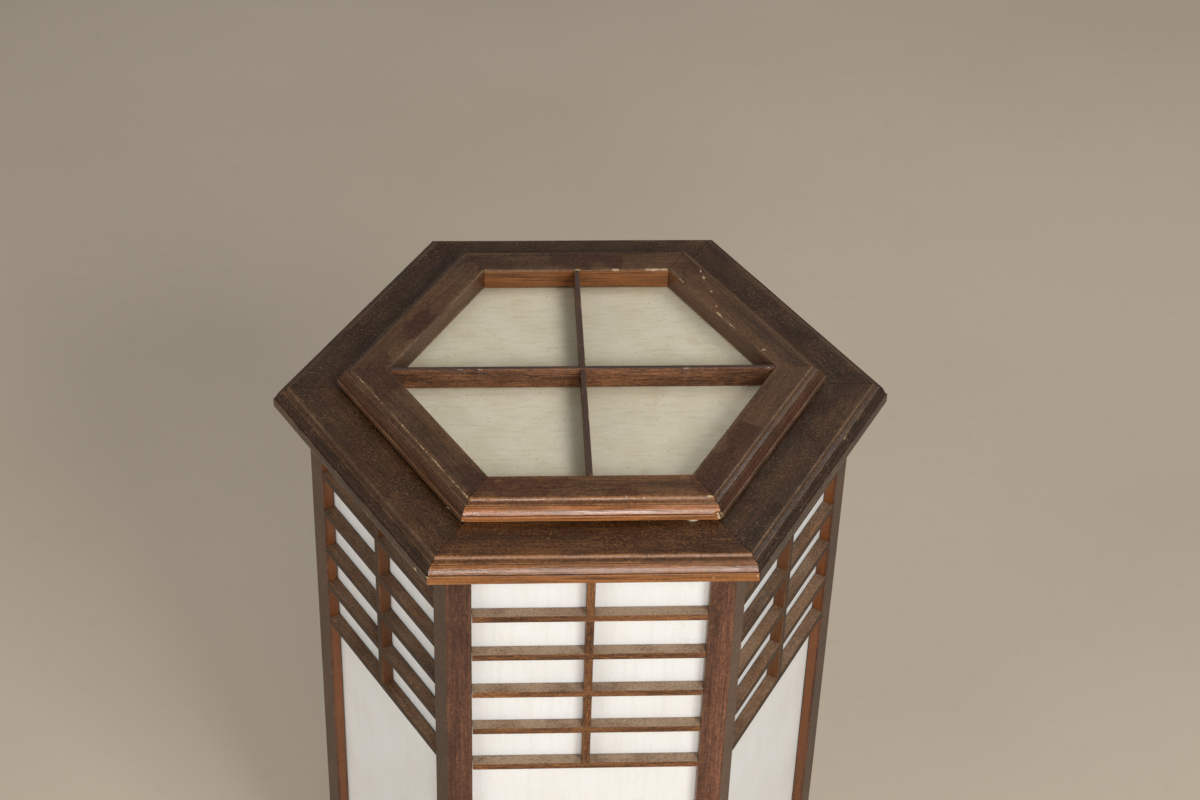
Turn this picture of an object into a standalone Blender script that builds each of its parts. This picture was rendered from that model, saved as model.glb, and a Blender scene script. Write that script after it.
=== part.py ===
# Hexagonal wood-and-paper table lamp with a lift-off lid, modelled piece by piece.
# Metres, +Z up. The origin is on the surface that the feet stand on, under the lamp's centre.
# Corners lie at 0, 60, 120 ... degrees, so a flat side faces -Y. That side is the front.

import math

import bmesh
import bpy
from mathutils import Matrix

# Lamp as a whole
CORNICE_TOP = 0.5400       # height of the cornice's flat top
CORNICE_APOTHEM = 0.1732   # lamp axis to the cornice's outer face
OVERHANG = 0.0190          # cornice beyond the body's sides
GAP = 0.0003               # clearance that each piece keeps to the next one

# Cornice rails, from the flat top outwards and down
CORNICE_WIDTH = 0.0522
CORNICE_THICK = 0.0154
CORNICE_STEP = 0.0032
CORNICE_SHELF = 0.0046
CORNICE_OVOLO_OUT = 0.0032
CORNICE_OVOLO_DROP = 0.0062

# Lid rails
LID_OVERLAP = 0.0162       # lid beyond the cornice's opening
LID_STAND = 0.0026         # lid's underside above the cornice's top
LID_THICK = 0.0124
LID_STEP = 0.0036
LID_SHELF = 0.0040
LID_OVOLO_OUT = 0.0034
LID_OVOLO_DROP = 0.0070
TONGUE_PLAY = 0.0010       # locating tongue to the cornice's opening
TONGUE_THICK = 0.0060
TONGUE_DROP = 0.0080       # tongue below the cornice's top
LID_LEDGE = 0.0056         # ledge that the lid paper is glued under

# Both mouldings
ARRIS = 0.0008             # rounding of the flat top's edge
ARRIS_STEPS = 3
QUIRK = 0.0006             # ovolo stands above its shelf, and back from the fillet, by this much
OVOLO_STEPS = 6

# Lid bars, paper and pads
LID_BAR_THICK = 0.0032
PAPER_THICK = 0.0004
PAD_DIAMETER = 0.0100
PAD_TO_CORNER = 0.0175     # pad's centre to the lid's outer corner, along the rail
PAD_INSET = 0.0060         # pad's centre behind the lid's outer face

# Posts and the rails between them
POST_FACE = 0.0158         # post's width on each side of its arris
POST_BACK_CUT = 0.0027     # taken off the post's inner ridge
REBATE = 0.0050            # paper's lap behind posts and rails
TOP_RAIL_HEIGHT = 0.0162
BOTTOM_RAIL_HEIGHT = 0.0300
FOOT = 0.0180              # post below the bottom rail

# Side lattices
LATTICE_DEPTH = 0.0080
BAR_THICK = 0.0050
WINDOW_HEIGHT = 0.0274
BARS = 5
STILE_WIDTH = 0.0052

# Plank and lamp holder
PLANK_WIDTH = 0.0900
PLANK_THICK = 0.0120
PLANK_END_CLEAR = 0.0020   # plank's end to the side paper
FLANGE_RIM = 0.0092        # flange beyond the holder's body
FLANGE_THICK = 0.0070
HOLDER_HEIGHT = 0.0380
HOLDER_FLOOR = 0.0100
HOLDER_WALL = 0.0065
SHELL_WALL = 0.0006
SHELL_SETBACK = 0.0030     # shell's top below the holder's rim
CONTACT_DIAMETER = 0.0110
CONTACT_HEIGHT = 0.0030
SCREW_HEAD_DIAMETER = 0.0070
SCREW_HEAD_HEIGHT = 0.0024
SCREW_SHANK_DIAMETER = 0.0034
SCREW_LENGTH = 0.0150      # under the head
SCREW_HEAD_STEPS = 3

# Bulb
CAP_DIAMETER = 0.0263
CAP_HEIGHT = 0.0260
CAP_WALL = 0.0005
CAP_CONE = 0.0060          # height of the cap's tapered lower end
CAP_TIP_DIAMETER = 0.0096
GLOBE_RADIUS = 0.0300
GLASS_WALL = 0.0008
NECK_IN_CAP = 0.0060
NECK_ABOVE_CAP = 0.0030
NECK_SWEEP = 0.0080        # straight neck to the start of the flare
GLOBE_START = math.radians(-48)
GLOBE_STEPS = 9
NECK_STEPS = 4
TURNED_SIDES = 24
SMALL_SIDES = 16           # pads, screws and their bores

SIDES = ("front", "front_right", "back_right", "back", "back_left", "front_left")
CORNERS = ("right", "back_right", "back_left", "left", "front_left", "front_right")
TURN = math.radians(60)
TAN_30 = math.tan(math.radians(30))
COS_30 = math.cos(math.radians(30))
SIN_30 = math.sin(math.radians(30))

# Places worked out from the sizes
body_apothem = CORNICE_APOTHEM - OVERHANG
half_side = body_apothem * TAN_30
opening = CORNICE_APOTHEM - CORNICE_WIDTH
cornice_bottom = CORNICE_TOP - CORNICE_THICK
lid_bottom = CORNICE_TOP + LID_STAND
lid_top = lid_bottom + LID_THICK
lid_apothem = opening + LID_OVERLAP
tongue_out = opening - TONGUE_PLAY
tongue_in = tongue_out - TONGUE_THICK
lid_opening = tongue_in - LID_LEDGE
mitre_trim = GAP / 2 / COS_30
post_neck = POST_FACE - REBATE
post_depth = post_neck / TAN_30 - POST_BACK_CUT
paper_front = body_apothem - LATTICE_DEPTH - GAP
top_rail_top = cornice_bottom - GAP
top_rail_bottom = top_rail_top - TOP_RAIL_HEIGHT
bottom_rail_top = FOOT + BOTTOM_RAIL_HEIGHT
ledge_top = bottom_rail_top - REBATE
plank_bottom = ledge_top + GAP
plank_top = plank_bottom + PLANK_THICK

# Heights and radii of the holder and bulb, which stand on the plank at the lamp's axis
cap_radius = CAP_DIAMETER / 2
shell_in = cap_radius + GAP
shell_out = shell_in + SHELL_WALL
holder_bore = shell_out + GAP
holder_radius = holder_bore + HOLDER_WALL
holder_bottom = plank_top + GAP
holder_top = holder_bottom + HOLDER_HEIGHT
holder_floor = holder_bottom + HOLDER_FLOOR
contact_top = holder_floor + GAP + CONTACT_HEIGHT
cap_bottom = contact_top + GAP
cap_top = cap_bottom + CAP_HEIGHT
neck_radius = cap_radius - CAP_WALL - GAP
screw_place = holder_radius + GAP + SCREW_HEAD_DIAMETER / 2
screw_seat = holder_bottom + FLANGE_THICK + GAP


def material(name, colour, roughness, metallic=0.0, transmission=0.0):
    """A plain surface of that colour."""
    made = bpy.data.materials.new(name)
    made.use_nodes = True
    shader = made.node_tree.nodes["Principled BSDF"]
    shader.inputs["Base Color"].default_value = (*colour, 1.0)
    shader.inputs["Roughness"].default_value = roughness
    shader.inputs["Metallic"].default_value = metallic
    shader.inputs["Transmission Weight"].default_value = transmission
    return made


def piece(name, mesh, finish, turn=0.0, smooth=False):
    """A named piece, turned about the lamp's axis."""
    if smooth:
        mesh.shade_smooth()
        mesh.set_sharp_from_angle(angle=math.radians(35))
    obj = bpy.data.objects.new(name, mesh)
    obj.rotation_euler.z = turn
    bpy.context.scene.collection.objects.link(obj)
    mesh.materials.clear()
    mesh.materials.append(finish)
    return obj


def around(prefix, places, mesh, finish):
    """Six like pieces, one at each side or corner."""
    for step, place in enumerate(places):
        piece(f"{prefix}_{place}", mesh, finish, step * TURN)


def closed_mesh(name, bm):
    """The finished mesh, faces outwards."""
    bmesh.ops.recalc_face_normals(bm, faces=bm.faces)
    mesh = bpy.data.meshes.new(name)
    bm.to_mesh(mesh)
    bm.free()
    return mesh


def stack(name, plan, base, layers):
    """Outlines in plan, extruded in layers: each layer is a rise and the outlines that go on with it."""
    bm = bmesh.new()
    tag = bm.faces.layers.int.new("outline")
    corners = {}
    for index, outline in enumerate(plan):
        ring = []
        for x, y in outline:
            key = (round(x, 7), round(y, 7))
            if key not in corners:
                corners[key] = bm.verts.new((x, y, base))
            ring.append(corners[key])
        bm.faces.new(ring)[tag] = index
    ends = list(bm.faces)
    for rise, kept in layers:
        going_on = [face for face in ends if face[tag] in kept]
        borders = {edge for face in going_on for edge in face.edges}
        grown = bmesh.ops.extrude_face_region(bm, geom=[*going_on, *borders])["geom"]
        moved = [item for item in grown if isinstance(item, bmesh.types.BMVert)]
        bmesh.ops.translate(bm, vec=(0, 0, rise), verts=moved)
        ends = [item for item in grown if isinstance(item, bmesh.types.BMFace)]
    return closed_mesh(name, bm)


def stand_up(mesh):
    """Turns a plan into an elevation of the front: its Y becomes height, its rise points out."""
    mesh.transform(Matrix.Rotation(math.pi / 2, 4, "X"))
    return mesh


def rectangle(x_low, x_high, y_low, y_high):
    return [(x_low, y_low), (x_high, y_low), (x_high, y_high), (x_low, y_high)]


def hexagon(apothem):
    radius = apothem / COS_30
    return [(radius * math.cos(i * TURN), radius * math.sin(i * TURN)) for i in range(6)]


def turned(name, profile, sides=TURNED_SIDES):
    """(radius, height) points turned about the lamp's axis. The profile closes on the axis or on itself."""
    bm = bmesh.new()
    points = [bm.verts.new((radius, 0, height)) for radius, height in profile]
    edges = [bm.edges.new(pair) for pair in zip(points, points[1:])]
    if profile[0][0] > 0 or profile[-1][0] > 0:
        edges.append(bm.edges.new((points[-1], points[0])))
    bmesh.ops.spin(
        bm,
        geom=points + edges,
        axis=(0, 0, 1),
        cent=(0, 0, 0),
        angle=2 * math.pi,
        steps=sides,
        use_merge=True,
    )
    bmesh.ops.remove_doubles(bm, verts=bm.verts, dist=1e-6)
    return closed_mesh(name, bm)


def drill(obj, cutter):
    """Cuts the cutter's shape out of a piece."""
    cut = obj.modifiers.new(cutter.name, "BOOLEAN")
    cut.operation = "DIFFERENCE"
    cut.object = cutter


def moulded_edge(top, edge, step, shelf, ovolo_out, ovolo_drop):
    """(apothem, height) points of a moulding: rounded arris, step, shelf, and an ovolo between quirks."""
    flat_end = edge - QUIRK - ovolo_out - shelf
    ovolo_in = flat_end + shelf
    ovolo_foot = top - step + QUIRK - ovolo_drop
    points = []
    for i in range(ARRIS_STEPS + 1):
        angle = math.pi / 2 * i / ARRIS_STEPS
        points.append((flat_end - ARRIS + ARRIS * math.sin(angle), top - ARRIS + ARRIS * math.cos(angle)))
    points.append((flat_end, top - step))
    points.append((ovolo_in, top - step))
    for i in range(OVOLO_STEPS + 1):
        angle = math.pi / 2 * i / OVOLO_STEPS
        points.append((ovolo_in + ovolo_out * math.sin(angle), ovolo_foot + ovolo_drop * math.cos(angle)))
    points.append((edge, ovolo_foot))
    return points


def mitred_rail(name, section):
    """The front rail of a hexagonal frame: an (apothem, height) section between two mitred ends."""
    bm = bmesh.new()
    ends = []
    for hand in (-1, 1):
        end = [bm.verts.new((hand * (a * TAN_30 - mitre_trim), -a, z)) for a, z in section]
        bm.faces.new(end)
        ends.append(end)
    left, right = ends
    for i, j in zip(range(len(section)), [*range(1, len(section)), 0]):
        bm.faces.new((left[i], left[j], right[j], right[i]))
    return closed_mesh(name, bm)


def cornice_rail():
    edge = moulded_edge(
        CORNICE_TOP, CORNICE_APOTHEM, CORNICE_STEP, CORNICE_SHELF, CORNICE_OVOLO_OUT, CORNICE_OVOLO_DROP
    )
    under = [(CORNICE_APOTHEM, cornice_bottom), (opening, cornice_bottom)]
    return mitred_rail("cornice_rail", [(opening, CORNICE_TOP), *edge, *under])


def lid_rail():
    edge = moulded_edge(lid_top, lid_apothem, LID_STEP, LID_SHELF, LID_OVOLO_OUT, LID_OVOLO_DROP)
    tongue_foot = CORNICE_TOP - TONGUE_DROP
    under = [
        (lid_apothem, lid_bottom),
        (tongue_out, lid_bottom),
        (tongue_out, tongue_foot),
        (tongue_in, tongue_foot),
        (tongue_in, CORNICE_TOP),
        (lid_opening, CORNICE_TOP),
    ]
    return mitred_rail("lid_rail", [(lid_opening, lid_top), *edge, *under])


def lid_bars(wood):
    """A bar from corner to corner and one from front to back, halved where they cross."""
    half = LID_BAR_THICK / 2
    lap = half + GAP
    depth = lid_top - CORNICE_TOP
    reach = lid_opening - GAP
    tip = reach / COS_30
    shoulder = tip - half * TAN_30
    long_plan = [
        [(-tip, 0), (-shoulder, -half), (-lap, -half), (-lap, half), (-shoulder, half)],
        rectangle(-lap, lap, -half, half),
        [(lap, -half), (shoulder, -half), (tip, 0), (shoulder, half), (lap, half)],
    ]
    lower = (depth - GAP) / 2
    upper = depth - lower
    long_bar = stack("lid_bar_long", long_plan, lid_top, [(-lower, (0, 1, 2)), (-upper, (0, 2))])
    piece("lid_bar_long", long_bar, wood)
    short_plan = [
        rectangle(-half, half, -reach, -lap),
        rectangle(-half, half, -lap, lap),
        rectangle(-half, half, lap, reach),
    ]
    short_bar = stack("lid_bar_short", short_plan, CORNICE_TOP, [(lower, (0, 1, 2)), (upper, (0, 2))])
    piece("lid_bar_short", short_bar, wood)


def lid_paper():
    return stack("lid_paper", [hexagon(tongue_in - GAP)], CORNICE_TOP - GAP, [(-PAPER_THICK, (0,))])


def lid_pad():
    """A felt disc between the lid's rail and the cornice, near the rail's right end."""
    mesh = turned(
        "lid_pad",
        [
            (0, CORNICE_TOP + GAP),
            (PAD_DIAMETER / 2, CORNICE_TOP + GAP),
            (PAD_DIAMETER / 2, lid_bottom - GAP),
            (0, lid_bottom - GAP),
        ],
        SMALL_SIDES,
    )
    along = lid_apothem * TAN_30 - PAD_TO_CORNER
    mesh.transform(Matrix.Translation((along, PAD_INSET - lid_apothem, 0)))
    return mesh


def post():
    """The right corner's post: an arris of 120 degrees, stepped behind for the paper."""
    radius = body_apothem / COS_30

    def at(hand, along, depth):
        x = radius - along * SIN_30 - depth * COS_30
        y = hand * (along * COS_30 - depth * SIN_30)
        return x, y

    half_section = [
        (POST_FACE, 0),
        (POST_FACE, LATTICE_DEPTH),
        (post_neck, LATTICE_DEPTH),
        (post_neck, post_depth),
    ]
    near = [at(1, along, depth) for along, depth in half_section]
    far = [at(-1, along, depth) for along, depth in reversed(half_section)]
    return stack("post", [[(radius, 0), *near, *far]], 0, [(top_rail_top, (0,))])


def body_rail(name, flush_edge, height, direction):
    """The front rail between two posts. Its rear half laps behind the posts and stops short for the paper."""
    front, rear = -body_apothem, -body_apothem + post_depth
    lap = -paper_front
    narrow = half_side - POST_FACE - GAP
    wide = half_side - post_neck - GAP
    front_half = rectangle(-narrow, narrow, front, lap)
    rear_half = [(-wide, lap), (-narrow, lap), (narrow, lap), (wide, lap), (wide, rear), (-wide, rear)]
    layers = [(direction * (height - REBATE), (0, 1)), (direction * REBATE, (0,))]
    return stack(name, [front_half, rear_half], flush_edge, layers)


def lattice():
    """Five cross bars halved over a centre stile, glued as one grid behind the posts' faces."""
    reach = half_side - POST_FACE - GAP
    stile = STILE_WIDTH / 2
    plan = []
    window_top = top_rail_bottom - GAP
    for _ in range(BARS):
        bar_top = window_top - WINDOW_HEIGHT
        bar_bottom = bar_top - BAR_THICK
        plan.append(rectangle(-stile, stile, bar_top, window_top))
        plan.append(rectangle(-reach, -stile, bar_bottom, bar_top))
        plan.append(rectangle(-stile, stile, bar_bottom, bar_top))
        plan.append(rectangle(stile, reach, bar_bottom, bar_top))
        window_top = bar_bottom
    grid = stack("lattice", plan, body_apothem - LATTICE_DEPTH, [(LATTICE_DEPTH, range(len(plan)))])
    return stand_up(grid)


def side_paper():
    reach = half_side - post_neck - GAP
    low = ledge_top + GAP
    high = top_rail_bottom + REBATE - GAP
    pane = stack("side_paper", [rectangle(-reach, reach, low, high)], paper_front, [(-PAPER_THICK, (0,))])
    return stand_up(pane)


def holder(wood, ceramic, brass, steel):
    """The plank across the front and back bottom rails, and the lamp holder screwed to it."""
    plank_reach = paper_front - PAPER_THICK - PLANK_END_CLEAR
    plank_plan = [rectangle(-PLANK_WIDTH / 2, PLANK_WIDTH / 2, -plank_reach, plank_reach)]
    plank = piece("plank", stack("plank", plank_plan, plank_bottom, [(PLANK_THICK, (0,))]), wood)

    flange_radius = holder_radius + FLANGE_RIM
    flange_top = holder_bottom + FLANGE_THICK
    body = piece(
        "holder_body",
        turned(
            "holder_body",
            [
                (0, holder_bottom),
                (flange_radius, holder_bottom),
                (flange_radius, flange_top),
                (holder_radius, flange_top),
                (holder_radius, holder_top),
                (holder_bore, holder_top),
                (holder_bore, holder_floor),
                (0, holder_floor),
            ],
        ),
        ceramic,
        smooth=True,
    )
    shell_bottom, shell_top = holder_floor + GAP, holder_top - SHELL_SETBACK
    shell = turned(
        "holder_shell",
        [
            (shell_in, shell_bottom),
            (shell_out, shell_bottom),
            (shell_out, shell_top),
            (shell_in, shell_top),
        ],
    )
    piece("holder_shell", shell, brass, smooth=True)
    contact_radius = CONTACT_DIAMETER / 2
    contact = turned(
        "holder_contact",
        [
            (0, holder_floor + GAP),
            (contact_radius, holder_floor + GAP),
            (contact_radius, contact_top - CONTACT_HEIGHT / 2),
            (contact_radius / 2, contact_top),
            (0, contact_top),
        ],
    )
    piece("holder_contact", contact, brass, smooth=True)

    for hand, place in ((-1, "left"), (1, "right")):
        shift = Matrix.Translation((hand * screw_place, 0, 0))
        screw = fixing_screw(f"holder_screw_{place}")
        screw.transform(shift)
        piece(f"holder_screw_{place}", screw, steel, smooth=True)
        bore = turned(
            f"screw_bore_{place}",
            [
                (0, screw_seat - SCREW_LENGTH - GAP),
                (SCREW_SHANK_DIAMETER / 2 + GAP, screw_seat - SCREW_LENGTH - GAP),
                (SCREW_SHANK_DIAMETER / 2 + GAP, screw_seat + SCREW_HEAD_HEIGHT),
                (0, screw_seat + SCREW_HEAD_HEIGHT),
            ],
            SMALL_SIDES,
        )
        bore.transform(shift)
        cutter = piece(f"screw_bore_{place}", bore, steel)
        cutter.hide_render = True
        cutter.display_type = "WIRE"
        drill(body, cutter)
        drill(plank, cutter)


def fixing_screw(name):
    """A round-headed wood screw, its head on the holder's flange."""
    head, shank = SCREW_HEAD_DIAMETER / 2, SCREW_SHANK_DIAMETER / 2
    tip = screw_seat - SCREW_LENGTH
    profile = [(0, tip), (shank, tip + shank), (shank, screw_seat)]
    for i in range(SCREW_HEAD_STEPS):
        angle = math.pi / 2 * i / SCREW_HEAD_STEPS
        profile.append((head * math.cos(angle), screw_seat + SCREW_HEAD_HEIGHT * math.sin(angle)))
    profile.append((0, screw_seat + SCREW_HEAD_HEIGHT))
    return turned(name, profile, SMALL_SIDES)


def bulb_outline(globe, neck, neck_bottom, globe_centre):
    """(radius, height) points of the bulb's glass, from the neck up to the crown."""
    start_radius = globe * math.cos(GLOBE_START)
    start_height = globe_centre + globe * math.sin(GLOBE_START)
    bend_height = start_height - (start_radius - neck) / math.tan(-GLOBE_START)
    neck_end = cap_top + NECK_ABOVE_CAP
    points = [(neck, neck_bottom)]
    for i in range(NECK_STEPS):
        t = i / NECK_STEPS
        radius = (1 - t) ** 2 * neck + 2 * t * (1 - t) * neck + t * t * start_radius
        height = (1 - t) ** 2 * neck_end + 2 * t * (1 - t) * bend_height + t * t * start_height
        points.append((radius, height))
    for i in range(GLOBE_STEPS):
        angle = GLOBE_START + (math.pi / 2 - GLOBE_START) * i / GLOBE_STEPS
        points.append((globe * math.cos(angle), globe_centre + globe * math.sin(angle)))
    points.append((0, globe_centre + globe))
    return points


def bulb(glass, brass):
    flare = GLOBE_RADIUS * math.cos(GLOBE_START) - neck_radius
    globe_centre = (
        cap_top
        + NECK_ABOVE_CAP
        + NECK_SWEEP
        + flare / math.tan(-GLOBE_START)
        - GLOBE_RADIUS * math.sin(GLOBE_START)
    )
    neck_bottom = cap_top - NECK_IN_CAP
    outside = bulb_outline(GLOBE_RADIUS, neck_radius, neck_bottom, globe_centre)
    inside = bulb_outline(GLOBE_RADIUS - GLASS_WALL, neck_radius - GLASS_WALL, neck_bottom, globe_centre)
    piece("bulb_glass", turned("bulb_glass", [*reversed(inside), *outside]), glass, smooth=True)
    tip = CAP_TIP_DIAMETER / 2
    cup_floor = neck_bottom - GAP
    cap = turned(
        "bulb_cap",
        [
            (0, cap_bottom),
            (tip, cap_bottom),
            (cap_radius, cap_bottom + CAP_CONE),
            (cap_radius, cap_top),
            (cap_radius - CAP_WALL, cap_top),
            (cap_radius - CAP_WALL, cup_floor),
            (0, cup_floor),
        ],
    )
    piece("bulb_cap", cap, brass, smooth=True)


def main():
    for old in list(bpy.data.objects):
        bpy.data.objects.remove(old)

    stained_wood = material("stained_wood", (0.085, 0.045, 0.027), 0.45)
    lattice_wood = material("lattice_wood", (0.110, 0.060, 0.036), 0.50)
    plain_wood = material("plain_wood", (0.420, 0.290, 0.170), 0.60)
    side_washi = material("side_washi", (0.830, 0.810, 0.765), 0.85)
    lid_washi = material("lid_washi", (0.620, 0.560, 0.430), 0.85)
    felt = material("felt", (0.620, 0.560, 0.470), 0.95)
    ceramic = material("ceramic", (0.800, 0.790, 0.760), 0.25)
    brass = material("brass", (0.720, 0.560, 0.260), 0.35, metallic=1.0)
    steel = material("steel", (0.560, 0.560, 0.560), 0.35, metallic=1.0)
    frosted_glass = material("frosted_glass", (0.930, 0.925, 0.905), 0.35, transmission=0.6)

    around("post", CORNERS, post(), stained_wood)
    around("top_rail", SIDES, body_rail("top_rail", top_rail_top, TOP_RAIL_HEIGHT, -1), stained_wood)
    around("bottom_rail", SIDES, body_rail("bottom_rail", FOOT, BOTTOM_RAIL_HEIGHT, 1), stained_wood)
    around("lattice", SIDES, lattice(), lattice_wood)
    around("side_paper", SIDES, side_paper(), side_washi)
    around("cornice_rail", SIDES, cornice_rail(), stained_wood)
    around("lid_rail", SIDES, lid_rail(), stained_wood)
    around("lid_pad", SIDES, lid_pad(), felt)
    lid_bars(lattice_wood)
    piece("lid_paper", lid_paper(), lid_washi)
    holder(plain_wood, ceramic, brass, steel)
    bulb(frosted_glass, brass)


main()
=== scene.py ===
import math

import bmesh
import bpy
from mathutils import Matrix, Vector, kdtree
from mathutils import noise as waves


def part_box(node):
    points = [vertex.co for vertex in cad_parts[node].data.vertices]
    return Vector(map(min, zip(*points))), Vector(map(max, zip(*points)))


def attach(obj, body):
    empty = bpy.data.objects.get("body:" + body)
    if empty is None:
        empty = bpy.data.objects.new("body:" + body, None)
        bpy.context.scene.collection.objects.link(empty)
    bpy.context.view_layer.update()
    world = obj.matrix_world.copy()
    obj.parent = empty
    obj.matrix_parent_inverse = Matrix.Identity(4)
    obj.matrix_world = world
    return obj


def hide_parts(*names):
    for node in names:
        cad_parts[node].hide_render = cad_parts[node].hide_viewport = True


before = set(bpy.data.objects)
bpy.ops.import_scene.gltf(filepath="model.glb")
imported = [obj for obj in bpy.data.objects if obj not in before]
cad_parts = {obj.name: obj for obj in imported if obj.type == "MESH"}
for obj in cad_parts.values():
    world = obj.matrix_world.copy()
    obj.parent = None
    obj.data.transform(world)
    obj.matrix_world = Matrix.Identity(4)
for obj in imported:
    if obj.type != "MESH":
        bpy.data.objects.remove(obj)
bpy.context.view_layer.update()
scene = bpy.context.scene
print("frame loaded:", len(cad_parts), "nodes")

sides = ("front", "front_right", "back_right", "back", "back_left", "front_left")
corners = ("right", "back_right", "back_left", "left", "front_left", "front_right")
sixth = math.radians(60)
tan30 = math.tan(math.radians(30))
cos30 = math.cos(math.radians(30))


# small helpers for node trees, shader and geometry alike

# links a socket to an input, and sets a plain value on the input itself
def feed(tree, node, inputs):
    for key, value in inputs.items():
        if isinstance(value, bpy.types.NodeSocket):
            tree.links.new(value, node.inputs[key])
        else:
            node.inputs[key].default_value = value


def put(tree, kind, inputs=None, **settings):
    node = tree.nodes.new(kind)
    for key, value in settings.items():
        setattr(node, key, value)
    feed(tree, node, inputs or {})
    return node


def calc(tree, operation, first, second=0.0, third=0.0):
    node = put(tree, "ShaderNodeMath", {0: first, 1: second, 2: third}, operation=operation)
    return node.outputs[0]


def vectorCalc(tree, operation, first, second=(0, 0, 0)):
    return put(tree, "ShaderNodeVectorMath", {0: first, 1: second}, operation=operation).outputs[0]


def stretch(tree, vector, factor):
    return put(tree, "ShaderNodeVectorMath", {0: vector, "Scale": factor}, operation="SCALE").outputs[0]


def noiseOf(tree, vector, scale, detail=3.0, distortion=0.0):
    inputs = {"Vector": vector, "Scale": scale, "Detail": detail, "Distortion": distortion}
    return put(tree, "ShaderNodeTexNoise", inputs).outputs[0]


def window(tree, value, low, high, toLow=0.0, toHigh=1.0):
    inputs = {"Value": value, 1: low, 2: high, 3: toLow, 4: toHigh}
    return put(tree, "ShaderNodeMapRange", inputs, interpolation_type="SMOOTHSTEP").outputs[0]


def over(tree, share, under, top):
    node = put(tree, "ShaderNodeMix", {0: share, 6: under, 7: top}, data_type="RGBA")
    return node.outputs[2]


def rgb(red, green, blue):
    def linear(value):
        value /= 255
        return value / 12.92 if value <= 0.04045 else ((value + 0.055) / 1.055) ** 2.4
    return (linear(red), linear(green), linear(blue), 1.0)


def attribute(tree, name):
    return put(tree, "ShaderNodeAttribute", attribute_name=name)


# finishes

def newFinish(name):
    made = bpy.data.materials.new(name)
    made.use_nodes = True
    return made, made.node_tree, made.node_tree.nodes["Principled BSDF"]


def bumpOf(tree, strength, distance, height):
    inputs = {"Strength": strength, "Distance": distance, "Height": height}
    return put(tree, "ShaderNodeBump", inputs).outputs[0]


# a share for the first copy, the next four and the last: on rails the front, the right round to the back
# left, and the front left; on posts the right one, those round to the front left, and the front right one
def bySide(tree, copy, front, right, left):
    share = window(tree, copy, 0.4, 0.6, front, right)
    return calc(tree, "ADD", share, window(tree, copy, 4.4, 4.6, 0.0, left - right))


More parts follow.
